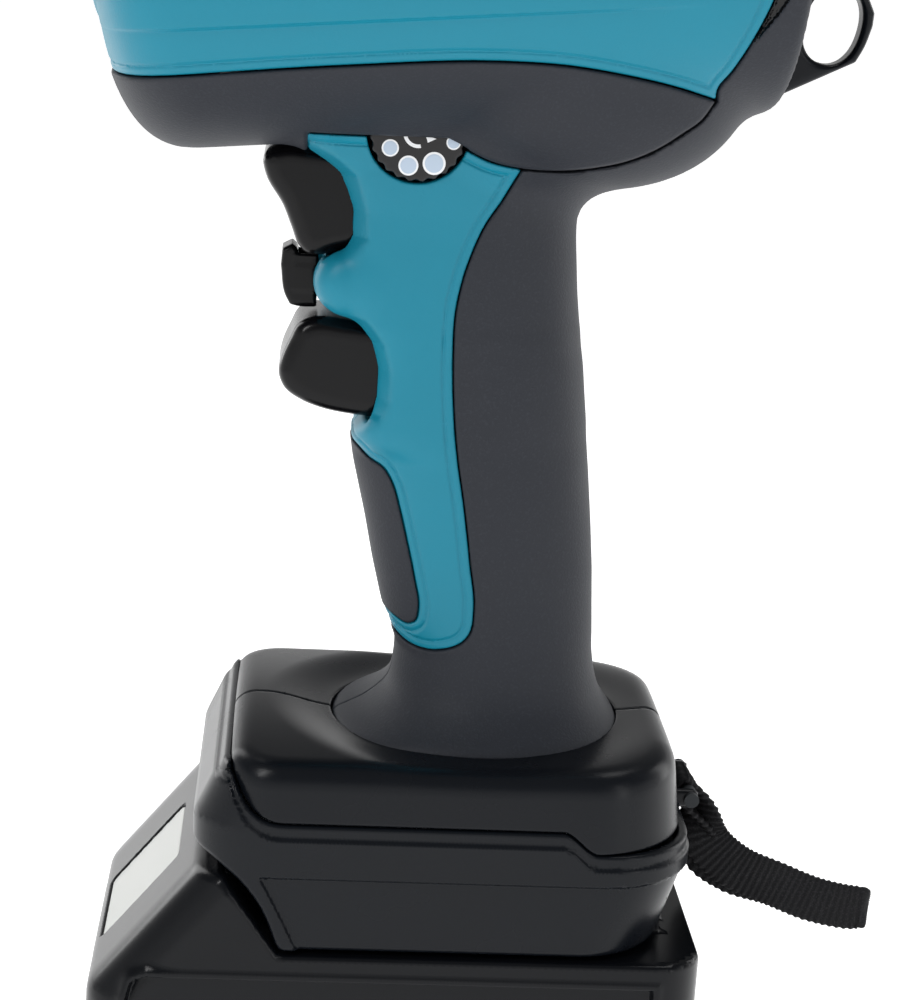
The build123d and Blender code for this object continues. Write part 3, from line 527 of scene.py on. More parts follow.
belly_side = Region(PARTING, BELLY_EDGE, (-22.9, 199.6), (-22.9, 185.0), (-75.0, 185.0))
shell_side = Region(PARTING, SHELL_REAR, (-90.0, 300.0), (-90.0, 205.0))
back_side = Region(GRIP_SPLIT, (-25.0, 78.0), (72.0, 78.0), (72.0, 300.0), SHELL_REAR[::-1], BELLY_EDGE[:8])
front_side = Region(GRIP_SPLIT, (-25.0, 199.6), BELLY_EDGE[:6:-1])
insert_side = Region(INSERT_EDGE)
strip_side = Region([(51.6, 218.6), (54.7, 227.8), (57.0, 238.0), (58.0, 262.0), (57.6, 300.0)],
                    [(63.0, 300.0), (62.0, 262.0), (60.6, 238.0), (57.4, 227.8), (51.6, 218.6)])

DIAL_X, DIAL_Z, DIAL_R, DIAL_FACE = -3.4, 200.4, 8.8, -19.4
HOUSING_SCREWS = [(15.0, 112.0, 17.0), (15.5, 142.0, 17.0), (36.0, 199.0, 22.0)]
SCREW_HOLE_R = 3.0
HALVES = {"left": -1, "right": 1}


def bead(edge, at, width=0.32, depth=0.3):
    """A fine groove that follows an outline, a little inside it."""
    return depth * np.exp(-(((edge + at) / width) ** 2))


def trigger_rooms(x, y, z):
    upper = block(x, y, z, (-45, -11.45, 175.4), (-1.0, 11.45, 196.4), 0.5)
    lower = block(x, y, z, (-45, -11.45, 144.9), (5.0, 11.45, 164.9), 0.5)
    lever = block(x, y, z, (-45, -7.5, 165.0), (-19.0, 7.5, 178.5), 0.5)
    stem = block(x, y, z, (-30, -5.5, 166.5), (-6.0, 5.5, 175.5), 0.5)
    return np.minimum(np.minimum(upper, lower), np.minimum(lever, stem))


def shell_wall(form, thick=WALL):
    """What is left of a solid form when it is hollowed to a wall."""
    return smax(form, -(form + thick), 0.3)


def half_cut(edge, y, side=-1):
    """Cuts a piece to its side-view outline and to one half of the housing."""
    return smax(edge, y * -side + SEAM, 0.5)


def screw_holes(cut, p, screws, depth):
    x, y, z = p.T
    for sx, sz, half in screws:
        cut = smax(cut, -np.maximum(np.hypot(x - sx, z - sz) - SCREW_HOLE_R, half - depth - y), 0.5)
    return cut


def shell_half(p):
    x, y, z = p.T
    edge = shell_side(x, z) + GAP
    form = outer(x, y, z) + bead(edge, 1.7)
    _, w = along_barrel(x, z)
    nose = smax(shell_wall(form), 12.9 - np.hypot(y, w), 0.6)
    return smax(nose, half_cut(edge, y), 0.5)


def intake_bore(x, y, z):
    return np.maximum(np.hypot(y, z - INTAKE_Z) - BORE_R, 50.0 - x)


def front_half(p, side=-1):
    """The hard plastic of the grip: finger rooms, the nub, and the dial or the screws."""
    x, y, z = p.T
    form = outer(x, y, z)
    edge = front_side(x, z) + GAP
    insert = insert_side(x, z)
    form = form + bead(edge, 1.7) + bead(-insert, 1.6)
    seat = np.maximum(insert - GAP, -INSERT_THICK - form)
    cut = smax(half_cut(edge, y, side), -seat, 0.3)
    cut = smax(cut, -trigger_rooms(x, y, z), 0.7)
    if side < 0:
        pocket = np.maximum(np.hypot(x - DIAL_X, z - DIAL_Z) - DIAL_R - 0.45, y + 15.9)
        cut = smax(cut, -pocket, 0.5)
    else:
        cut = screw_holes(cut, p, HOUSING_SCREWS[:2], 4.4)
    return smax(shell_wall(form), cut, 0.5)


def back_half(p, side=-1):
    """The soft back of the grip and barrel, down to the flared collar on the foot."""
    x, y, z = p.T
    form = outer(x, y, z) - 0.25
    edge = back_side(x, z) + GAP
    form = form + 1.1 * ease(-strip_side(x, z), 0.0, 0.7)
    cut = smax(half_cut(edge, y, side), -intake_bore(x, y, z), 0.6)
    if side > 0:
        cut = screw_holes(cut, p, HOUSING_SCREWS[1:], 8.0)
    cut = smax(cut, 82.4 - z, 0.3)
    return smax(shell_wall(form), cut, 0.5)


def belly_half(p):
    x, y, z = p.T
    form = outer(x, y, z) - 0.5
    mould_mark = np.sqrt((x + 47.0) ** 2 + y * y) - 0.9
    form = form - 0.5 * ease(-mould_mark, 0.0, 0.4)
    edge = belly_side(x, z) + 0.15
    cut = smax(half_cut(edge, y), -trigger_rooms(x, y, z), 0.6)
    behind_dial = np.maximum(np.hypot(x - DIAL_X, z - DIAL_Z) - DIAL_R - 0.6, DIAL_FACE - 0.5 - y)
    return smax(smax(shell_wall(form), cut, 0.9), -behind_dial, 0.3)


def insert_half(p):
    x, y, z = p.T
    form = outer(x, y, z) - 0.2
    edge = insert_side(x, z) + GAP
    return smax(smax(form, -(form + INSERT_THICK), 0.2), half_cut(edge, y), 0.5)


FAR = 99.0                      # from a line that has nothing to ask for here


def finer_near(*edges, fine=0.42, band=2.4, most=2.6):
    """How long a triangle's edge may be, from its distance to the lines that need detail."""
    def wanted(v):
        near = np.full(len(v), 1e9)
        for edge in edges:
            near = np.minimum(near, np.abs(edge(*v.T)))
        return np.clip(fine + 0.35 * np.maximum(near - band, 0.0), fine, most)
    return wanted


def seam_line(x, y, z):
    return np.abs(y) + 1.6


def side_line(region):
    return lambda x, y, z: region(x, z)


def shoulder_line(x, y, z):
    u, w = along_barrel(x, z)
    return np.where(u < 46.0, np.abs(w + 20.0) + 1.0, FAR)


def rooms_line(x, y, z):
    return np.abs(trigger_rooms(x, y, z)) + 1.2


def dial_line(x, y, z):
    return np.where(y < 0, np.abs(np.hypot(x - DIAL_X, z - DIAL_Z) - DIAL_R - 0.45) + 1.2, FAR)


BARREL_VOXEL = 1.5          # has to stay under WALL, or the shells get holes
GRIP_VOXEL = 1.1


def make_housing():
    shell = surface(shell_half, (-74, -50, 200), (64, 1, 294), BARREL_VOXEL,
                    finer_near(side_line(shell_side), seam_line, shoulder_line))
    belly = surface(belly_half, (-62, -46, 190), (54, 1, 220), GRIP_VOXEL,
                    finer_near(side_line(belly_side), seam_line, rooms_line, dial_line))
    insert = surface(insert_half, (-18, -20, 102), (6, 1, 144), 0.8,
                     finer_near(side_line(insert_side), seam_line, band=1.2))
    put_pair("shell", shell, "housing_teal", "housing")
    put_pair("belly", belly, "soft_grip", "belly_cover")
    put_pair("insert", insert, "soft_grip", "grip_insert")
    for half, side in HALVES.items():
        low, high = ((-34, -22, 96), (26, 1, 205)) if side < 0 else ((-34, -1, 96), (26, 22, 205))
        edges = (side_line(front_side), side_line(insert_side), seam_line, rooms_line, dial_line)
        data = surface(lambda p: front_half(p, side), low, high, GRIP_VOXEL, finer_near(*edges))
        put(f"grip_front_{half}", data, "main_body", "housing_teal", f"housing_{half}")
        low, high = ((-22, -46, 80), (64, 1, 294)) if side < 0 else ((-22, -1, 80), (64, 46, 294))
        data = surface(lambda p: back_half(p, side), low, high, BARREL_VOXEL,
                       finer_near(side_line(back_side), side_line(strip_side), seam_line, fine=0.5))
        name = f"grip_back_{half}"
        piece = put(name, data, "main_body", "soft_grip", name, finish=[BY_SLOT["soft_grip"], RECESS_SHADE])
        # The groove's faces take the near-black painted shade as a second material
        paint(piece, lambda x, y, z: (strip_side(x, z) < -0.2) & (np.hypot(y, z - INTAKE_Z) > BORE_R + 0.25))


# ---- foot
CROWN_LINE_Z = 73.6


def crown_line(x):
    """Height of the joint between the foot's crown and its base."""
    rear_dip = 4.2 * ease(x, 29.8, 37.0)
    front_rise = 11.5 * np.clip((-21.0 - x) / 12.5, 0.0, 1.0) ** 3
    return CROWN_LINE_Z - rear_dip + front_rise


def collar_gap(x, y):
    return oval(x - 14.5, y, 28.35, 26.05, 2.0)


def crown_form(x, y, z):
    """Its top is domed across the tool and falls a little towards the grip's collar."""
    side = plan(x, y, -34.4, 53.8, 36.6, 11.0, 19.0) + 0.12 * (z - CROWN_LINE_Z)
    fall = (1 - ease(collar_gap(x, y), -1.0, 13.0)) * (1.3 + 1.2 * ease(-x, -10.0, 12.0))
    top = z - 86.6 + 2.2 * (y / 36.0) ** 2 + fall
    return smax(side, top, 4.6)


def crown_half(p):
    x, y, z = p.T
    form = crown_form(x, y, z)
    thick = smax(form, -(form + 2.4), 0.3)
    cut = smax(smax(crown_line(x) + GAP - z, y + SEAM, 0.4), -collar_gap(x, y), 0.4)
    return smax(thick, cut, 0.6)


skirt_cut = Region([(-60.0, 66.2), (-38.6, 66.4), (-36.4, 66.0), (-33.3, 64.4), (-30.3, 62.2), (-27.4, 58.8),
                    (-21.6, 45.6)], (-21.6, 40.0), (-60.0, 40.0))
skirt_panel = Region([(-26.9, 63.3), (-25.6, 60.9), (-19.0, 47.5), (-14.0, 36.0)], (80.0, 36.0), (80.0, 63.3))


SKIRT_LOW = 48.0


def base_form(x, y, z):
    """The front leans back above the pack's latch, and the rear draws in towards the pack."""
    lean = np.where(x < 0.0, 0.45 * np.maximum(z - 72.0, 0.0), -0.30 * np.maximum(62.5 - z, 0.0))
    return plan(x - lean, y, -39.5, 56.5, 37.6, 12.0, 18.0) + 0.012 * np.maximum(70.0 - z, 0.0)


def base_piece(p):
    x, y, z = p.T
    edge = skirt_panel(x, z)
    form = base_form(x, y, z) + 1.0 * ease(-edge, -0.1, 0.6)
    line = np.minimum(crown_line(x), 83.2)
    form = form + 0.6 * ease(z, line - 3.2, line - 2.2)
    form = smax(form, z - line + GAP, 0.8)
    form = smax(form, SKIRT_LOW - z, 1.6)
    form = smax(form, -skirt_cut(x, z), 1.4)
    hollow = np.maximum(base_form(x, y, z) + 2.6, -(x + 35.6))
    room_below = np.maximum(hollow, z - 64.2)
    room_above = np.maximum(hollow, 66.8 - z)
    opening = block(x, y, z, (10.0, -21.2, 60.0), (42.0, 21.2, 72.0))
    latch = block(x, y, z, (-60.0, -9.6, 60.0), (-31.0, 9.6, 65.6))
    front_open = block(x, y, z, (-80.0, -34.9, 30.0), (0.0, 34.9, 64.2))
    cut = np.minimum(np.minimum(room_below, room_above), np.minimum(opening, np.minimum(latch, front_open)))
    form = smax(form, -cut, 0.6)
    rail = block(x, np.abs(y), z, (-19.0, 22.2, 51.4), (54.5, 36.0, 55.0), 0.5)
    rail = np.maximum(rail, base_form(x, y, z) + 2.2)
    ear = block(x, np.abs(y), z, (52.5, 6.6, 68.2), (59.9, 8.8, 71.9), 1.0)
    return smin(smin(form, rail, 0.4), ear, 0.8)


def make_foot():
    crown = surface(crown_half, (-38, -39, 66), (58, 1, 88), GRIP_VOXEL,
                    finer_near(lambda x, y, z: z - crown_line(x), seam_line,
                               lambda x, y, z: collar_gap(x, y), band=1.4))
    put_pair("crown", crown, "foot_black", "foot_crown")
    edges = (lambda x, y, z: z - crown_line(x) + 2.0, side_line(skirt_cut), side_line(skirt_panel),
             lambda x, y, z: z - SKIRT_LOW)
    skirt = surface(base_piece, (-41, -40, 44), (63, 40, 88), BARREL_VOXEL,
                    finer_near(*edges, fine=0.66, band=1.7))
    put("foot_skirt", skirt, "main_body", "foot_black", "foot_base")


# ---- battery pack
PACK_JOINT = 20.0               # height of the joint between its two case halves
pack_side = Region((-59.0, -20.0), [(-59.0, 36.4), (-58.4, 38.0), (-57.3, 39.6)],
                   [(-40.2, 60.6), (-38.9, 61.9), (-37.0, 62.5)], (-33.2, 62.5), (-22.5, 47.2), (59.0, 47.2),
                   (59.0, -20.0))
pack_panel = Region((-51.6, 6.0), [(-51.6, 37.6), (-50.4, 41.2), (-47.0, 43.0)], (50.0, 43.0), (50.0, 6.0))
SLOPE_TILT = math.atan2(20.9, 17.0)


def on_slope(x, z):
    """Distance up the nose's slope from its middle, and out of it."""
    dx, dz = x + 50.4, z - 47.9
    c, s = math.cos(SLOPE_TILT), math.sin(SLOPE_TILT)
    return dx * c + dz * s, -dx * s + dz * c


def pack_form(x, y, z):
    """The closed pack: its side view, rounded more on the nose, with a sunk panel on each side."""
    _, out = on_slope(x, z)
    form = smax(np.abs(y) - 37.5, out, 11.0)
    form = smax(form, pack_side(x, z), 1.6)
    form = smax(form, plan(x, y, -59.0, 59.0, 37.5, 10.0, 10.0), 0.6)
    inside = -pack_panel(x, z)
    step = 1.5 * ease(inside, 0.6, 1.4) - 0.45 * np.exp(-((inside / 0.9) ** 2))
    panel = step * ease(np.abs(y), 30.0, 34.0)
    return smax(form, -z, 2.0) + panel


def label_area(x, y, z):
    along, _ = on_slope(x, z)
    return plan(along, y, -11.8, 11.8, 13.6, 1.8, 1.8)


def button_pocket(x, y, z):
    return block(x, y, z, (-62.0, -13.5, 8.0), (-52.0, 13.5, 27.0), 0.8)


def pack_upper(p):
    x, y, z = p.T
    form = pack_form(x, y, z)
    outside = form + 0.8 * ease(-label_area(x, y, z), -0.1, 0.4) * (x < -38.0)
    case = smax(outside, -(form + 2.6), 0.3)
    case = smax(case, 20.1 - z, 0.5)
    case = smax(case, -button_pocket(x, y, z), 0.5)
    case = smax(case, -block(x, y, z, (-38.2, -9.0, 58.0), (-33.6, 9.0, 70.0), 0.3), 0.4)
    deck = np.minimum(block(x, y, z, (-21.0, -21.6, 46.6), (52.0, 21.6, 59.6), 0.6),
                      block(x, y, z, (-21.0, -28.0, 55.9), (52.0, 28.0, 59.6), 0.6))
    room = block(x, y, z, (-19.0, -19.6, 44.0), (50.0, 19.6, 57.6))
    slots = [block(x, np.abs(y), z, (14.0, s - 1.1, 48.0), (60.0, s + 1.1, 61.0), 0.2) for s in (6.0, 15.0)]
    deck = smax(deck, -np.minimum(room, np.minimum(*slots)), 0.4)
    return np.minimum(smax(case, -room, 0.4), deck)


def pack_lower(p):
    x, y, z = p.T
    form = pack_form(x, y, z)
    case = smax(smax(form, -(form + 2.2), 0.3), z - 19.95, 0.5)
    return smax(case, -button_pocket(x, y, z), 0.5)


def label_plate(p):
    """A silver sticker that lies on the floor of its recess and follows the nose."""
    x, y, z = p.T
    return np.maximum(label_area(x, y, z) + 0.35, np.abs(pack_form(x, y, z) + 0.62) - 0.3)


def release_button(p):
    x, y, z = p.T
    face = block(x, y, z, (-58.8, -13.0, 12.4), (-53.0, 13.0, 26.4), 1.2)
    for rib in (15.4, 18.4, 21.4):
        face = smax(face, -block(x, y, z, (-62.0, -11.0, rib), (-58.1, 11.0, rib + 1.2), 0.4), 0.4)
    return smin(face, block(x, y, z, (-55.4, -8.0, 24.0), (-53.0, 8.0, 33.0), 0.4), 0.4)


def make_battery():
    def joint(x, y, z):
        return z - PACK_JOINT

    def label_edge(x, y, z):
        return np.where(x < -38.0, np.abs(label_area(x, y, z)), FAR)
    panel = side_line(pack_panel)
    upper = surface(pack_upper, (-61, -40, 18), (61, 40, 64), BARREL_VOXEL,
                    finer_near(panel, joint, label_edge, fine=0.6, band=1.2, most=2.4))
    put("pack_upper", upper, "battery", "battery_black", "battery_case_upper")
    lower = surface(pack_lower, (-61, -40, -2), (61, 40, 22), BARREL_VOXEL,
                    finer_near(joint, panel, fine=0.8, band=0.8))
    put("pack_lower", lower, "battery", "battery_black", "battery_case_lower")
    label = surface(label_plate, (-60, -15, 36), (-40, 15, 60), 0.5)
    put("pack_label", label, "battery", "label_grey", "battery_label")
    button = surface(release_button, (-60, -15, 10), (-51, 15, 35), 0.6)
    put("pack_button", button, "release_latch", "control_black", "release_button")


# ---- triggers, lever and dial
TRIGGER_HALF = 11.0
UPPER_TRIGGER = [(-22.0, 195.9), (-27.6, 196.0), (-30.2, 195.0), (-31.1, 193.0), (-30.6, 190.4),
                 (-27.1, 184.6), (-25.4, 180.6), (-24.0, 177.4), (-22.4, 175.9), (-20.4, 175.7),
                 (-17.0, 176.6), (-8.0, 178.0)]
LOWER_TRIGGER = [(-10.3, 163.4), (-14.0, 163.7), (-21.4, 163.8), (-23.3, 162.8), (-25.0, 159.6),
                 (-26.5, 155.6), (-26.8, 153.2), (-25.7, 150.4), (-22.5, 148.1), (-18.7, 146.7),
                 (-13.0, 145.7), (-9.5, 145.4)]
upper_side = Region(UPPER_TRIGGER, (-8.0, 195.0), cell=0.2, margin=4.0)
lower_side = Region(LOWER_TRIGGER, (-2.0, 147.0), (-2.0, 162.0), cell=0.2, margin=4.0)


def trigger(p, side, plunger):
    x, y, z = p.T
    form = smax(side(x, z), np.abs(y) - TRIGGER_HALF, 3.4)
    return np.minimum(form, block(x, y, z, *plunger, 0.4))


lever_side = Region([(-27.2, 172.6), (-26.2, 167.0), (-25.2, 165.2)],
                    [(-25.2, 165.2), (-23.8, 164.9), (-20.2, 164.9)], (-20.2, 173.2),
                    [(-24.0, 173.2), (-24.2, 175.9), (-25.2, 176.8)], (-27.0, 175.8), cell=0.2, margin=3.0)


def lever(p):
    """A sliding lever: a raised lip in front, a body behind it and a stem into the grip."""
    x, y, z = p.T
    face = smax(lever_side(x, z), np.abs(y) - 4.0, 1.2)
    cheek = block(x, np.abs(y), z, (-25.0, 3.0, 168.0), (-20.2, 4.0, 175.0), 0.4)
    stem = block(x, y, z, (-21.6, -2.0, 167.4), (-8.0, 2.0, 172.8), 0.4)
    return smin(smin(face, cheek, 0.5), stem, 0.6)


def dial_body(p):
    x, y, z = p.T
    dx, dz = x - DIAL_X, z - DIAL_Z
    angle = np.arctan2(dz, dx)
    rim = np.hypot(dx, dz) - DIAL_R + 0.22 + 0.22 * np.cos(24 * angle)
    disc = smax(rim, np.maximum(DIAL_FACE - y, y - (DIAL_FACE + 3.0)), 0.5)
    return smin(disc, np.maximum(np.hypot(dx, dz) - 2.0, np.maximum(DIAL_FACE - y + 1, y + 12.6)), 0.3)


# Dots on the dial, about its centre: x, z and radius
DOTS = ((-4.9, -2.9, 1.55), (-1.5, -5.9, 1.8), (3.1, -5.3, 2.07), (6.4, -1.4, 1.3), (6.0, 3.2, 1.1),
        (-6.3, 2.4, 1.2))


def flat_shape(outline, face_y, thick):
    """A thin raised shape on the dial's face: outline is (x, z) about the dial's centre."""
    ring = [(DIAL_X + x, DIAL_Z + z) for x, z in outline]
    n = len(ring)
    verts = [(x, face_y, z) for x, z in ring] + [(x, face_y - thick, z) for x, z in ring]
    faces = [list(range(n, 2 * n))[::-1]] + [[i, (i + 1) % n, n + (i + 1) % n, n + i] for i in range(n)]
    return verts, faces


def circle(cx, cz, r, start=0.0, turn=2 * math.pi, count=40):
    return [(cx + r * math.cos(start + turn * i / count), cz + r * math.sin(start + turn * i / count))
            for i in range(count + (turn < 6.2))]


def dial_prints():
    """White rings with pale centres, and two arrows chasing each other round the middle."""
    white, pale = [], []
    for cx, cz, r in DOTS:
        white.append(flat_shape(circle(cx, cz, r), DIAL_FACE + 0.02, 0.07))
        pale.append(flat_shape(circle(cx, cz, r * 0.8), DIAL_FACE - 0.04, 0.05))
    for start in (math.radians(165), math.radians(-15)):
        arc = circle(0.0, 0.0, 2.7, start, math.radians(118), 14)
        back = circle(0.0, 0.0, 2.05, start, math.radians(118), 14)[::-1]
        white.append(flat_shape(arc + back, DIAL_FACE + 0.02, 0.07))
        tip = start - math.radians(28)
        head = [(2.4 * math.cos(tip), 2.4 * math.sin(tip)), (3.4 * math.cos(start), 3.4 * math.sin(start)),
                (1.4 * math.cos(start), 1.4 * math.sin(start))]
        white.append(flat_shape(head, DIAL_FACE + 0.02, 0.07))
    return white, pale


def loose_mesh(name, parts):
    verts, faces = [], []
    for v, f in parts:
        base = len(verts)
        verts += [Vector(c) * MM for c in v]
        faces += [[base + i for i in face] for face in f]
    mesh = bpy.data.meshes.new(name)
    mesh.from_pydata(verts, [], faces)
    mesh.update()
    obj = bpy.data.objects.new(name, mesh)
    bpy.context.scene.collection.objects.link(obj)
    return obj


def make_controls():
    tight = finer_near(lambda x, y, z: np.abs(y) - TRIGGER_HALF, fine=0.4, band=2.5, most=1.2)
    upper = surface(lambda p: trigger(p, upper_side, ((-26.5, -2.5, 184.0), (-3.2, 2.5, 188.5))),
                    (-33, -12, 174), (-2, 12, 197), 0.8, tight, 1)
    put("trigger_upper", upper, "upper_trigger", "control_black", "upper_trigger")
    lower = surface(lambda p: trigger(p, lower_side, ((-23.0, -2.5, 153.2), (2.8, 2.5, 157.6))),
                    (-29, -12, 144), (4, 12, 166), 0.8, tight, 1)
    put("trigger_lower", lower, "lower_trigger", "control_black", "lower_trigger")
    slide = surface(lever, (-29, -5, 163), (-6, 5, 178), 0.45)
    put("lock_slide", slide, "lock_lever", "control_black", "lock_lever")
    wheel = surface(dial_body, (-13, -20, 191), (7, -12, 210), 0.35)
    put("dial_wheel", wheel, "speed_dial", "dial_black", "speed_dial")
    white, pale = dial_prints()
    fit_in(loose_mesh("dial_marks", white), "speed_dial", "dial_black", finish=[WHITE])
    fit_in(loose_mesh("dial_dots", pale), "speed_dial", "dial_black", finish=[PALE])


# ---- hanging loop and intake
loop_side = Region((60.6, 209.4), (65.0, 209.0), [(78.2, 215.6), (79.6, 218.4), (80.8, 222.4)], (80.9, 224.8),
                   (77.4, 231.8), (72.0, 234.0), (60.6, 236.0), cell=0.25, margin=4.0)


def loop(p):
    x, y, z = p.T
    dx, dz = x - 73.3, z - 222.0
    c, s = math.cos(math.radians(12)), math.sin(math.radians(12))
    hole = oval(dx * c - dz * s, dx * s + dz * c, 5.3, 7.1, 2.25)
    form = smax(loop_side(x, z), -hole, 0.6)
    return smax(form, np.abs(y) - 3.0, 1.6)


SLOT_PITCH = 6.0


def intake(p):
    """A round plate with level slots, left whole in its middle, in a deeper rim."""
    x, y, z = p.T
    dz = z - INTAKE_Z
    r = np.hypot(y, dz)
    disc = smax(r - INTAKE_R, np.maximum(x - 60.6, 58.6 - x), 0.8)
    rim = smax(np.maximum(r - INTAKE_R, 35.6 - r), np.maximum(x - 60.6, 52.0 - x), 0.5)
    row = SLOT_PITCH * np.round(dz / SLOT_PITCH)
    lane = np.abs(dz - row) - 1.25
    reach = np.sqrt(np.maximum(33.0**2 - row**2, 0.0)) - 3.0
    slot = smax(np.maximum(lane, np.abs(y) - reach), 10.5 - r, 0.6)
    return smin(smax(disc, -slot, 0.6), rim, 0.4)


def make_rear():
    rear_loop = surface(loop, (59, -4, 207), (83, 4, 238), 0.5)
    put("rear_loop", rear_loop, "main_body", "foot_black", "hanging_loop")
    grille = surface(intake, (51, -39, 208), (62, 39, 287), 0.8)
    put("intake_grille", grille, "main_body", "foot_black", "intake_cover")


# ---- nozzle
def closed_grid(n, m):
    """Quads over n rows of m points, closed on themselves both ways."""
    i, j = np.meshgrid(np.arange(n), np.arange(m), indexing="ij")
    a, b = i * m + j, i * m + (j + 1) % m
    c, d = ((i + 1) % n) * m + (j + 1) % m, ((i + 1) % n) * m + j
    return np.stack([a, b, c, d], -1).reshape(-1, 4)


def lathe(name, profile, count=96, notch=None):
    """A closed profile (u, r) turned about the barrel's axis."""
    prof = np.array(profile, float)
    angle = np.arange(count) * 2 * math.pi / count
    u = np.repeat(prof[:, :1], count, axis=1)
    r = np.repeat(prof[:, 1:], count, axis=1)
    if notch is not None:
        r = notch(u, r, angle[None, :])
    w = r * np.sin(angle)
    y = r * np.cos(angle)
    x = u * math.cos(TILT) - w * math.sin(TILT)
    z = u * math.sin(TILT) + w * math.cos(TILT) + BARREL_Z
    points = np.stack([x, y, z], -1).reshape(-1, 3)
    return add_mesh(name, points, closed_grid(len(prof), count), sharp=32)


def make_nozzle():
    tip, seat = -132.0, -78.6
    profile = [(tip + 0.3, 6.6), (tip, 7.1), (tip, 8.1), (tip + 0.5, 8.6), (seat - 6.6, 14.5),
               (seat - 5.6, 14.8), (seat - 0.6, 14.8), (seat, 14.2), (seat, 12.6), (-58.5, 12.6),
               (-58.0, 12.1), (-58.0, 10.5), (-57.9, 10.4), (tip + 14.0, 6.5)]
    fit_in(lathe("nozzle_tube", profile), "nozzle", "nozzle_black", "nozzle")
    ring = [(-78.1, 13.1), (-78.1, 14.9), (-77.6, 15.4), (-71.0, 15.4), (-70.5, 14.9), (-70.5, 13.1)]

    def ribbed(u, r, angle):
        return np.where(r > 14.0, r - 0.5 * (np.cos(20 * angle) > 0.55), r)
    lock_ring = lathe("lock_ring", ring, 360, ribbed)
    fit_in(lock_ring, "nozzle_lock_ring", "nozzle_black", "nozzle_lock_ring")


# ---- wrist strap
STRAP_WIDTH = 9.4
STRAP_THICK = 1.5
STRAP_PITCH = 0.25
STRAND_ROWS = int(62 / STRAP_PITCH)
WEAVE_ROW = 1.35                # along the strap
WEAVE_CORD = 1.1                # across it
WEAVE_DEPTH = 0.26
END_DROP = 0.9                  # the rear strand ends lower than the front one
ACROSS = np.array([0.0, 1.0, 0.0])


def unit(v):
    return v / np.linalg.norm(v, axis=1, keepdims=True)


def run_length(line):
    return np.concatenate([[0], np.cumsum(np.linalg.norm(np.diff(line, axis=0), axis=1))])


def strap_path(side):
    """Side view of one strand, from the bar to the folded end, and the distance along it."""
    points = [(57.6, 70.0 + side * 2.6), (60.6, 66.2 + side * 2.6), (63.6, 57.0 + side * 1.2),
              (69.5, 52.3 + side * 0.6), (78.5, 49.0), (87.6, 45.6), (95.2, 44.2), (97.0, 44.1)]
    line = rounded_line(points, 12)
    along = run_length(line)
    t = np.linspace(0, along[-1], STRAND_ROWS)
    return np.stack([np.interp(t, along, line[:, i]) for i in (0, 1)], -1), t


def strand(line, side, length):
    """One strand in space, and the way its width lies: level at the bar, upright further on."""
    twist = ease(length, 1.0, 18.0)
    angle = twist * math.pi / 2
    apart = 0.95 + 1.2 * np.exp(-length / 8.0)
    run = unit(np.gradient(line, axis=0))
    up = np.stack([-run[:, 1], np.zeros(len(run)), run[:, 0]], -1)
    wide = ACROSS * np.cos(angle)[:, None] - up * np.sin(angle)[:, None]
    drop = END_DROP * twist if side < 0 else 0.0
    return np.stack([line[:, 0], -side * apart * np.sin(angle), line[:, 1] - drop], -1), wide


def strap_line():
    """The closed line: a strand out, the folded end, the other strand back, and round the bar."""
    front, length = strap_path(1)
    rear, _ = strap_path(-1)
    out, out_wide = strand(front, 1, length)
    back, back_wide = strand(rear, -1, length)
    turn = np.linspace(0, math.pi, 12)[1:-1]
    x, half, z = out[-1]
    fold = np.stack([x + 0.9 * np.sin(turn), half * np.cos(turn), z - END_DROP * turn / math.pi], -1)
    bar = np.stack([58.4 - 2.4 * np.sin(turn), np.zeros(len(turn)), 70.0 - 2.6 * np.cos(turn)], -1)
    fold_wide = np.repeat(out_wide[-1:], len(turn), axis=0)
    bar_wide = np.repeat(ACROSS[None], len(turn), axis=0)
    path = np.vstack([out, fold, back[::-1], bar])
    wide = np.vstack([out_wide, fold_wide, back_wide[::-1], bar_wide])
    return path, wide, len(out) + len(turn) // 2


def webbing(path, wide, folded):
    """Rings of points round the web, with its weave, for each point of its line."""
    step = unit(np.roll(path, -1, axis=0) - np.roll(path, 1, axis=0))
    face = unit(np.cross(step, wide))
    wide = np.cross(face, step)
    travelled = run_length(path)
    narrow = 1.0 - 0.16 * np.exp(-(((travelled - travelled[folded]) / 1.6) ** 2))
    ripple = narrow * (1 + 0.03 * np.sin(travelled * 2 * math.pi / WEAVE_ROW))
    n_wide = int(STRAP_WIDTH / STRAP_PITCH)
    shares = [-1 + 2 * i / n_wide for i in range(n_wide + 1)]
    rings = []
    for s, top in [(s, 1) for s in shares] + [(-s, -1) for s in shares]:
        edge = math.sqrt(max(0.0, 1 - abs(s) ** 6))
        weave = np.sin(travelled * 2 * math.pi / WEAVE_ROW + (s * STRAP_WIDTH / WEAVE_CORD) * math.pi)
        cords = np.cos(s * STRAP_WIDTH / 2 * 2 * math.pi / WEAVE_CORD)
        lift = (STRAP_THICK / 2) * (0.45 + 0.55 * edge) + WEAVE_DEPTH * weave * cords
        rings.append(path + wide * (s * STRAP_WIDTH / 2 * ripple)[:, None] + face * (top * lift)[:, None])
    return np.stack(rings, 1), travelled[-1]


def make_strap():
    points, length = webbing(*strap_line())
    quads = closed_grid(*points.shape[:2])
    strap = add_mesh("strap_webbing", points.reshape(-1, 3), quads[:, ::-1])
    web = material("black_webbing", (16, 16, 19), 0.78, grain=0.8, grain_mm=0.35, vary=0.2, fleck=0.7,
                   shine=0.3)
    fit_in(strap, "main_body", "strap_web", "wrist_strap", finish=[web])


make_housing()
make_foot()
make_battery()
make_controls()
make_rear()
make_nozzle()
make_strap()


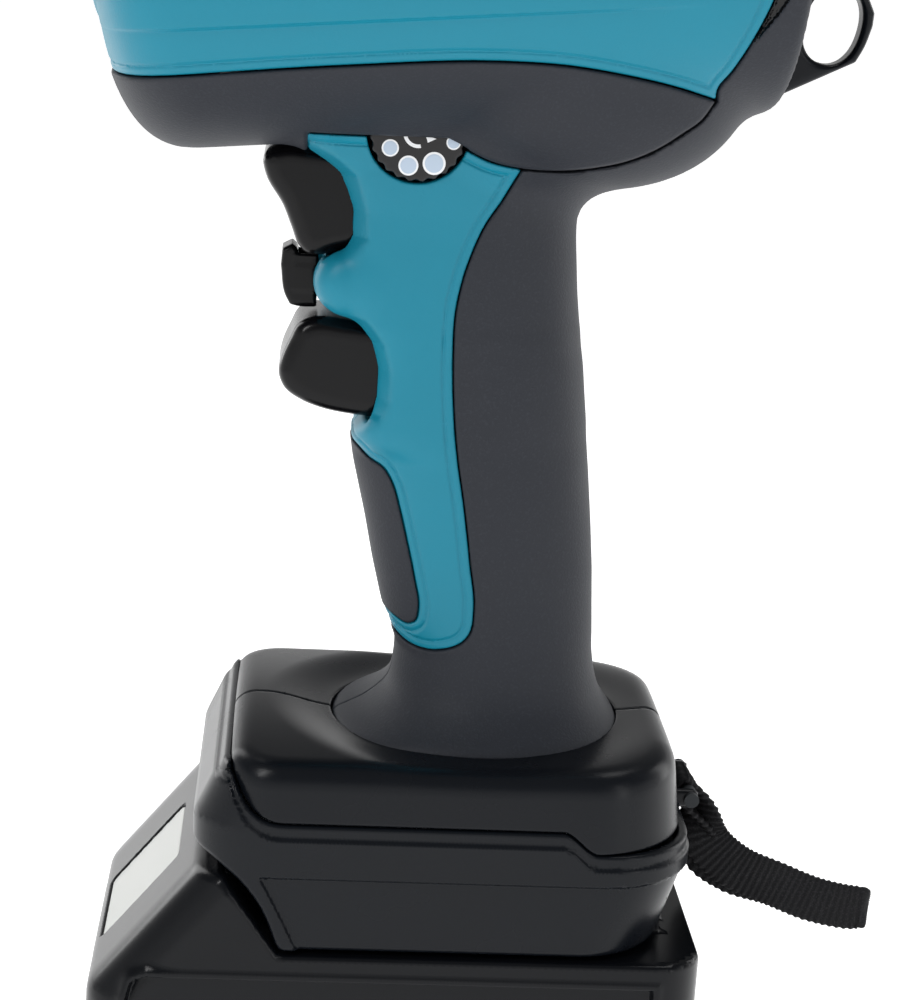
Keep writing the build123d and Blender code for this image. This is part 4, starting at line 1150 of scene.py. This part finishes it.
# ---- camera, floor and light
def look(pitch, yaw, roll, target, distance):
    """A camera seen from the front left, looking down a little; angles in degrees."""
    p, q, r = (math.radians(a) for a in (pitch, yaw, roll))
    forward = Vector((math.sin(q) * math.cos(p), math.cos(q) * math.cos(p), -math.sin(p)))
    right = Vector((math.cos(q), -math.sin(q), 0.0))
    up = right.cross(forward)
    right, up = right * math.cos(r) + up * math.sin(r), -right * math.sin(r) + up * math.cos(r)
    place = Vector(target) - forward * distance
    turn = Matrix((right, up, -forward)).transposed().to_4x4()
    return Matrix.Translation(place) @ turn


camera_data = bpy.data.cameras.new("camera")
camera_data.lens = 86.4
camera_data.sensor_width = 36.0
camera_data.clip_start = 0.01
camera = bpy.data.objects.new("camera", camera_data)
camera.matrix_world = look(15.2, 4.0, 3.4, (0.0084, 0.0, 0.1274), 0.468)
bpy.context.scene.collection.objects.link(camera)
bpy.context.scene.camera = camera


def add_light(name, place, target, size, power):
    data = bpy.data.lights.new(name, "AREA")
    data.shape = "RECTANGLE"
    data.size, data.size_y = size
    data.energy = power
    obj = bpy.data.objects.new(name, data)
    obj.location = place
    obj.rotation_euler = (Vector(target) - Vector(place)).to_track_quat("-Z", "Y").to_euler()
    bpy.context.scene.collection.objects.link(obj)


MIDDLE = (0.0, 0.0, 0.14)
add_light("key", (-0.50, -0.50, 0.75), MIDDLE, (0.16, 0.5), 2.6)
add_light("fill", (0.70, -0.70, 0.35), MIDDLE, (0.12, 0.8), 0.8)
add_light("top", (0.05, 0.20, 0.95), MIDDLE, (0.7, 0.3), 2.4)
add_light("back", (-0.6, 0.7, 0.45), MIDDLE, (0.3, 0.8), 2.2)
add_light("rear_edge", (0.9, 0.35, 0.3), MIDDLE, (0.3, 0.8), 1.8)

FLOOR_HALF = 6.0
FLOOR_DROP = 0.0002             # keeps the floor from sharing a plane with the pack's underside


def make_floor():
    mesh = bpy.data.meshes.new("floor")
    h = FLOOR_HALF
    mesh.from_pydata([(-h, -h, 0), (h, -h, 0), (h, h, 0), (-h, h, 0)], [], [(0, 1, 2, 3)])
    floor = bpy.data.objects.new("floor", mesh)
    floor.location = (0, 0, -FLOOR_DROP)
    grey = 255 * (1.055 * 0.88 ** (1 / 2.4) - 0.055)          # 0.88 once colour() has turned it back
    pale = material("pale_floor", (grey, grey, grey), 0.8, grain=0.05, vary=0.01, patch_mm=300.0)
    set_inputs(pale.node_tree.nodes["Principled BSDF"],
               {"Emission Color": (1.0, 1.0, 1.0, 1.0), "Emission Strength": 0.78})
    mesh.materials.append(pale)
    bpy.context.scene.collection.objects.link(floor)


def make_world():
    """A studio that is bright near the floor and darker overhead, so that black plastic stays black."""
    world = bpy.data.worlds.new("studio")
    world.use_nodes = True
    tree = world.node_tree
    background = tree.nodes["Background"]
    background.inputs["Color"].default_value = (1.0, 1.0, 1.0, 1.0)
    direction = tree.nodes.new("ShaderNodeTexCoord")
    parts = tree.nodes.new("ShaderNodeSeparateXYZ")
    tree.links.new(direction.outputs["Generated"], parts.inputs["Vector"])
    limits = {"From Min": 0.16, "From Max": 0.46, "To Min": 1.0, "To Max": 0.22}
    tree.links.new(add_range(tree, parts.outputs["Z"], limits), background.inputs["Strength"])
    bpy.context.scene.world = world


make_floor()
make_world()
bpy.context.scene.view_settings.view_transform = "Standard"
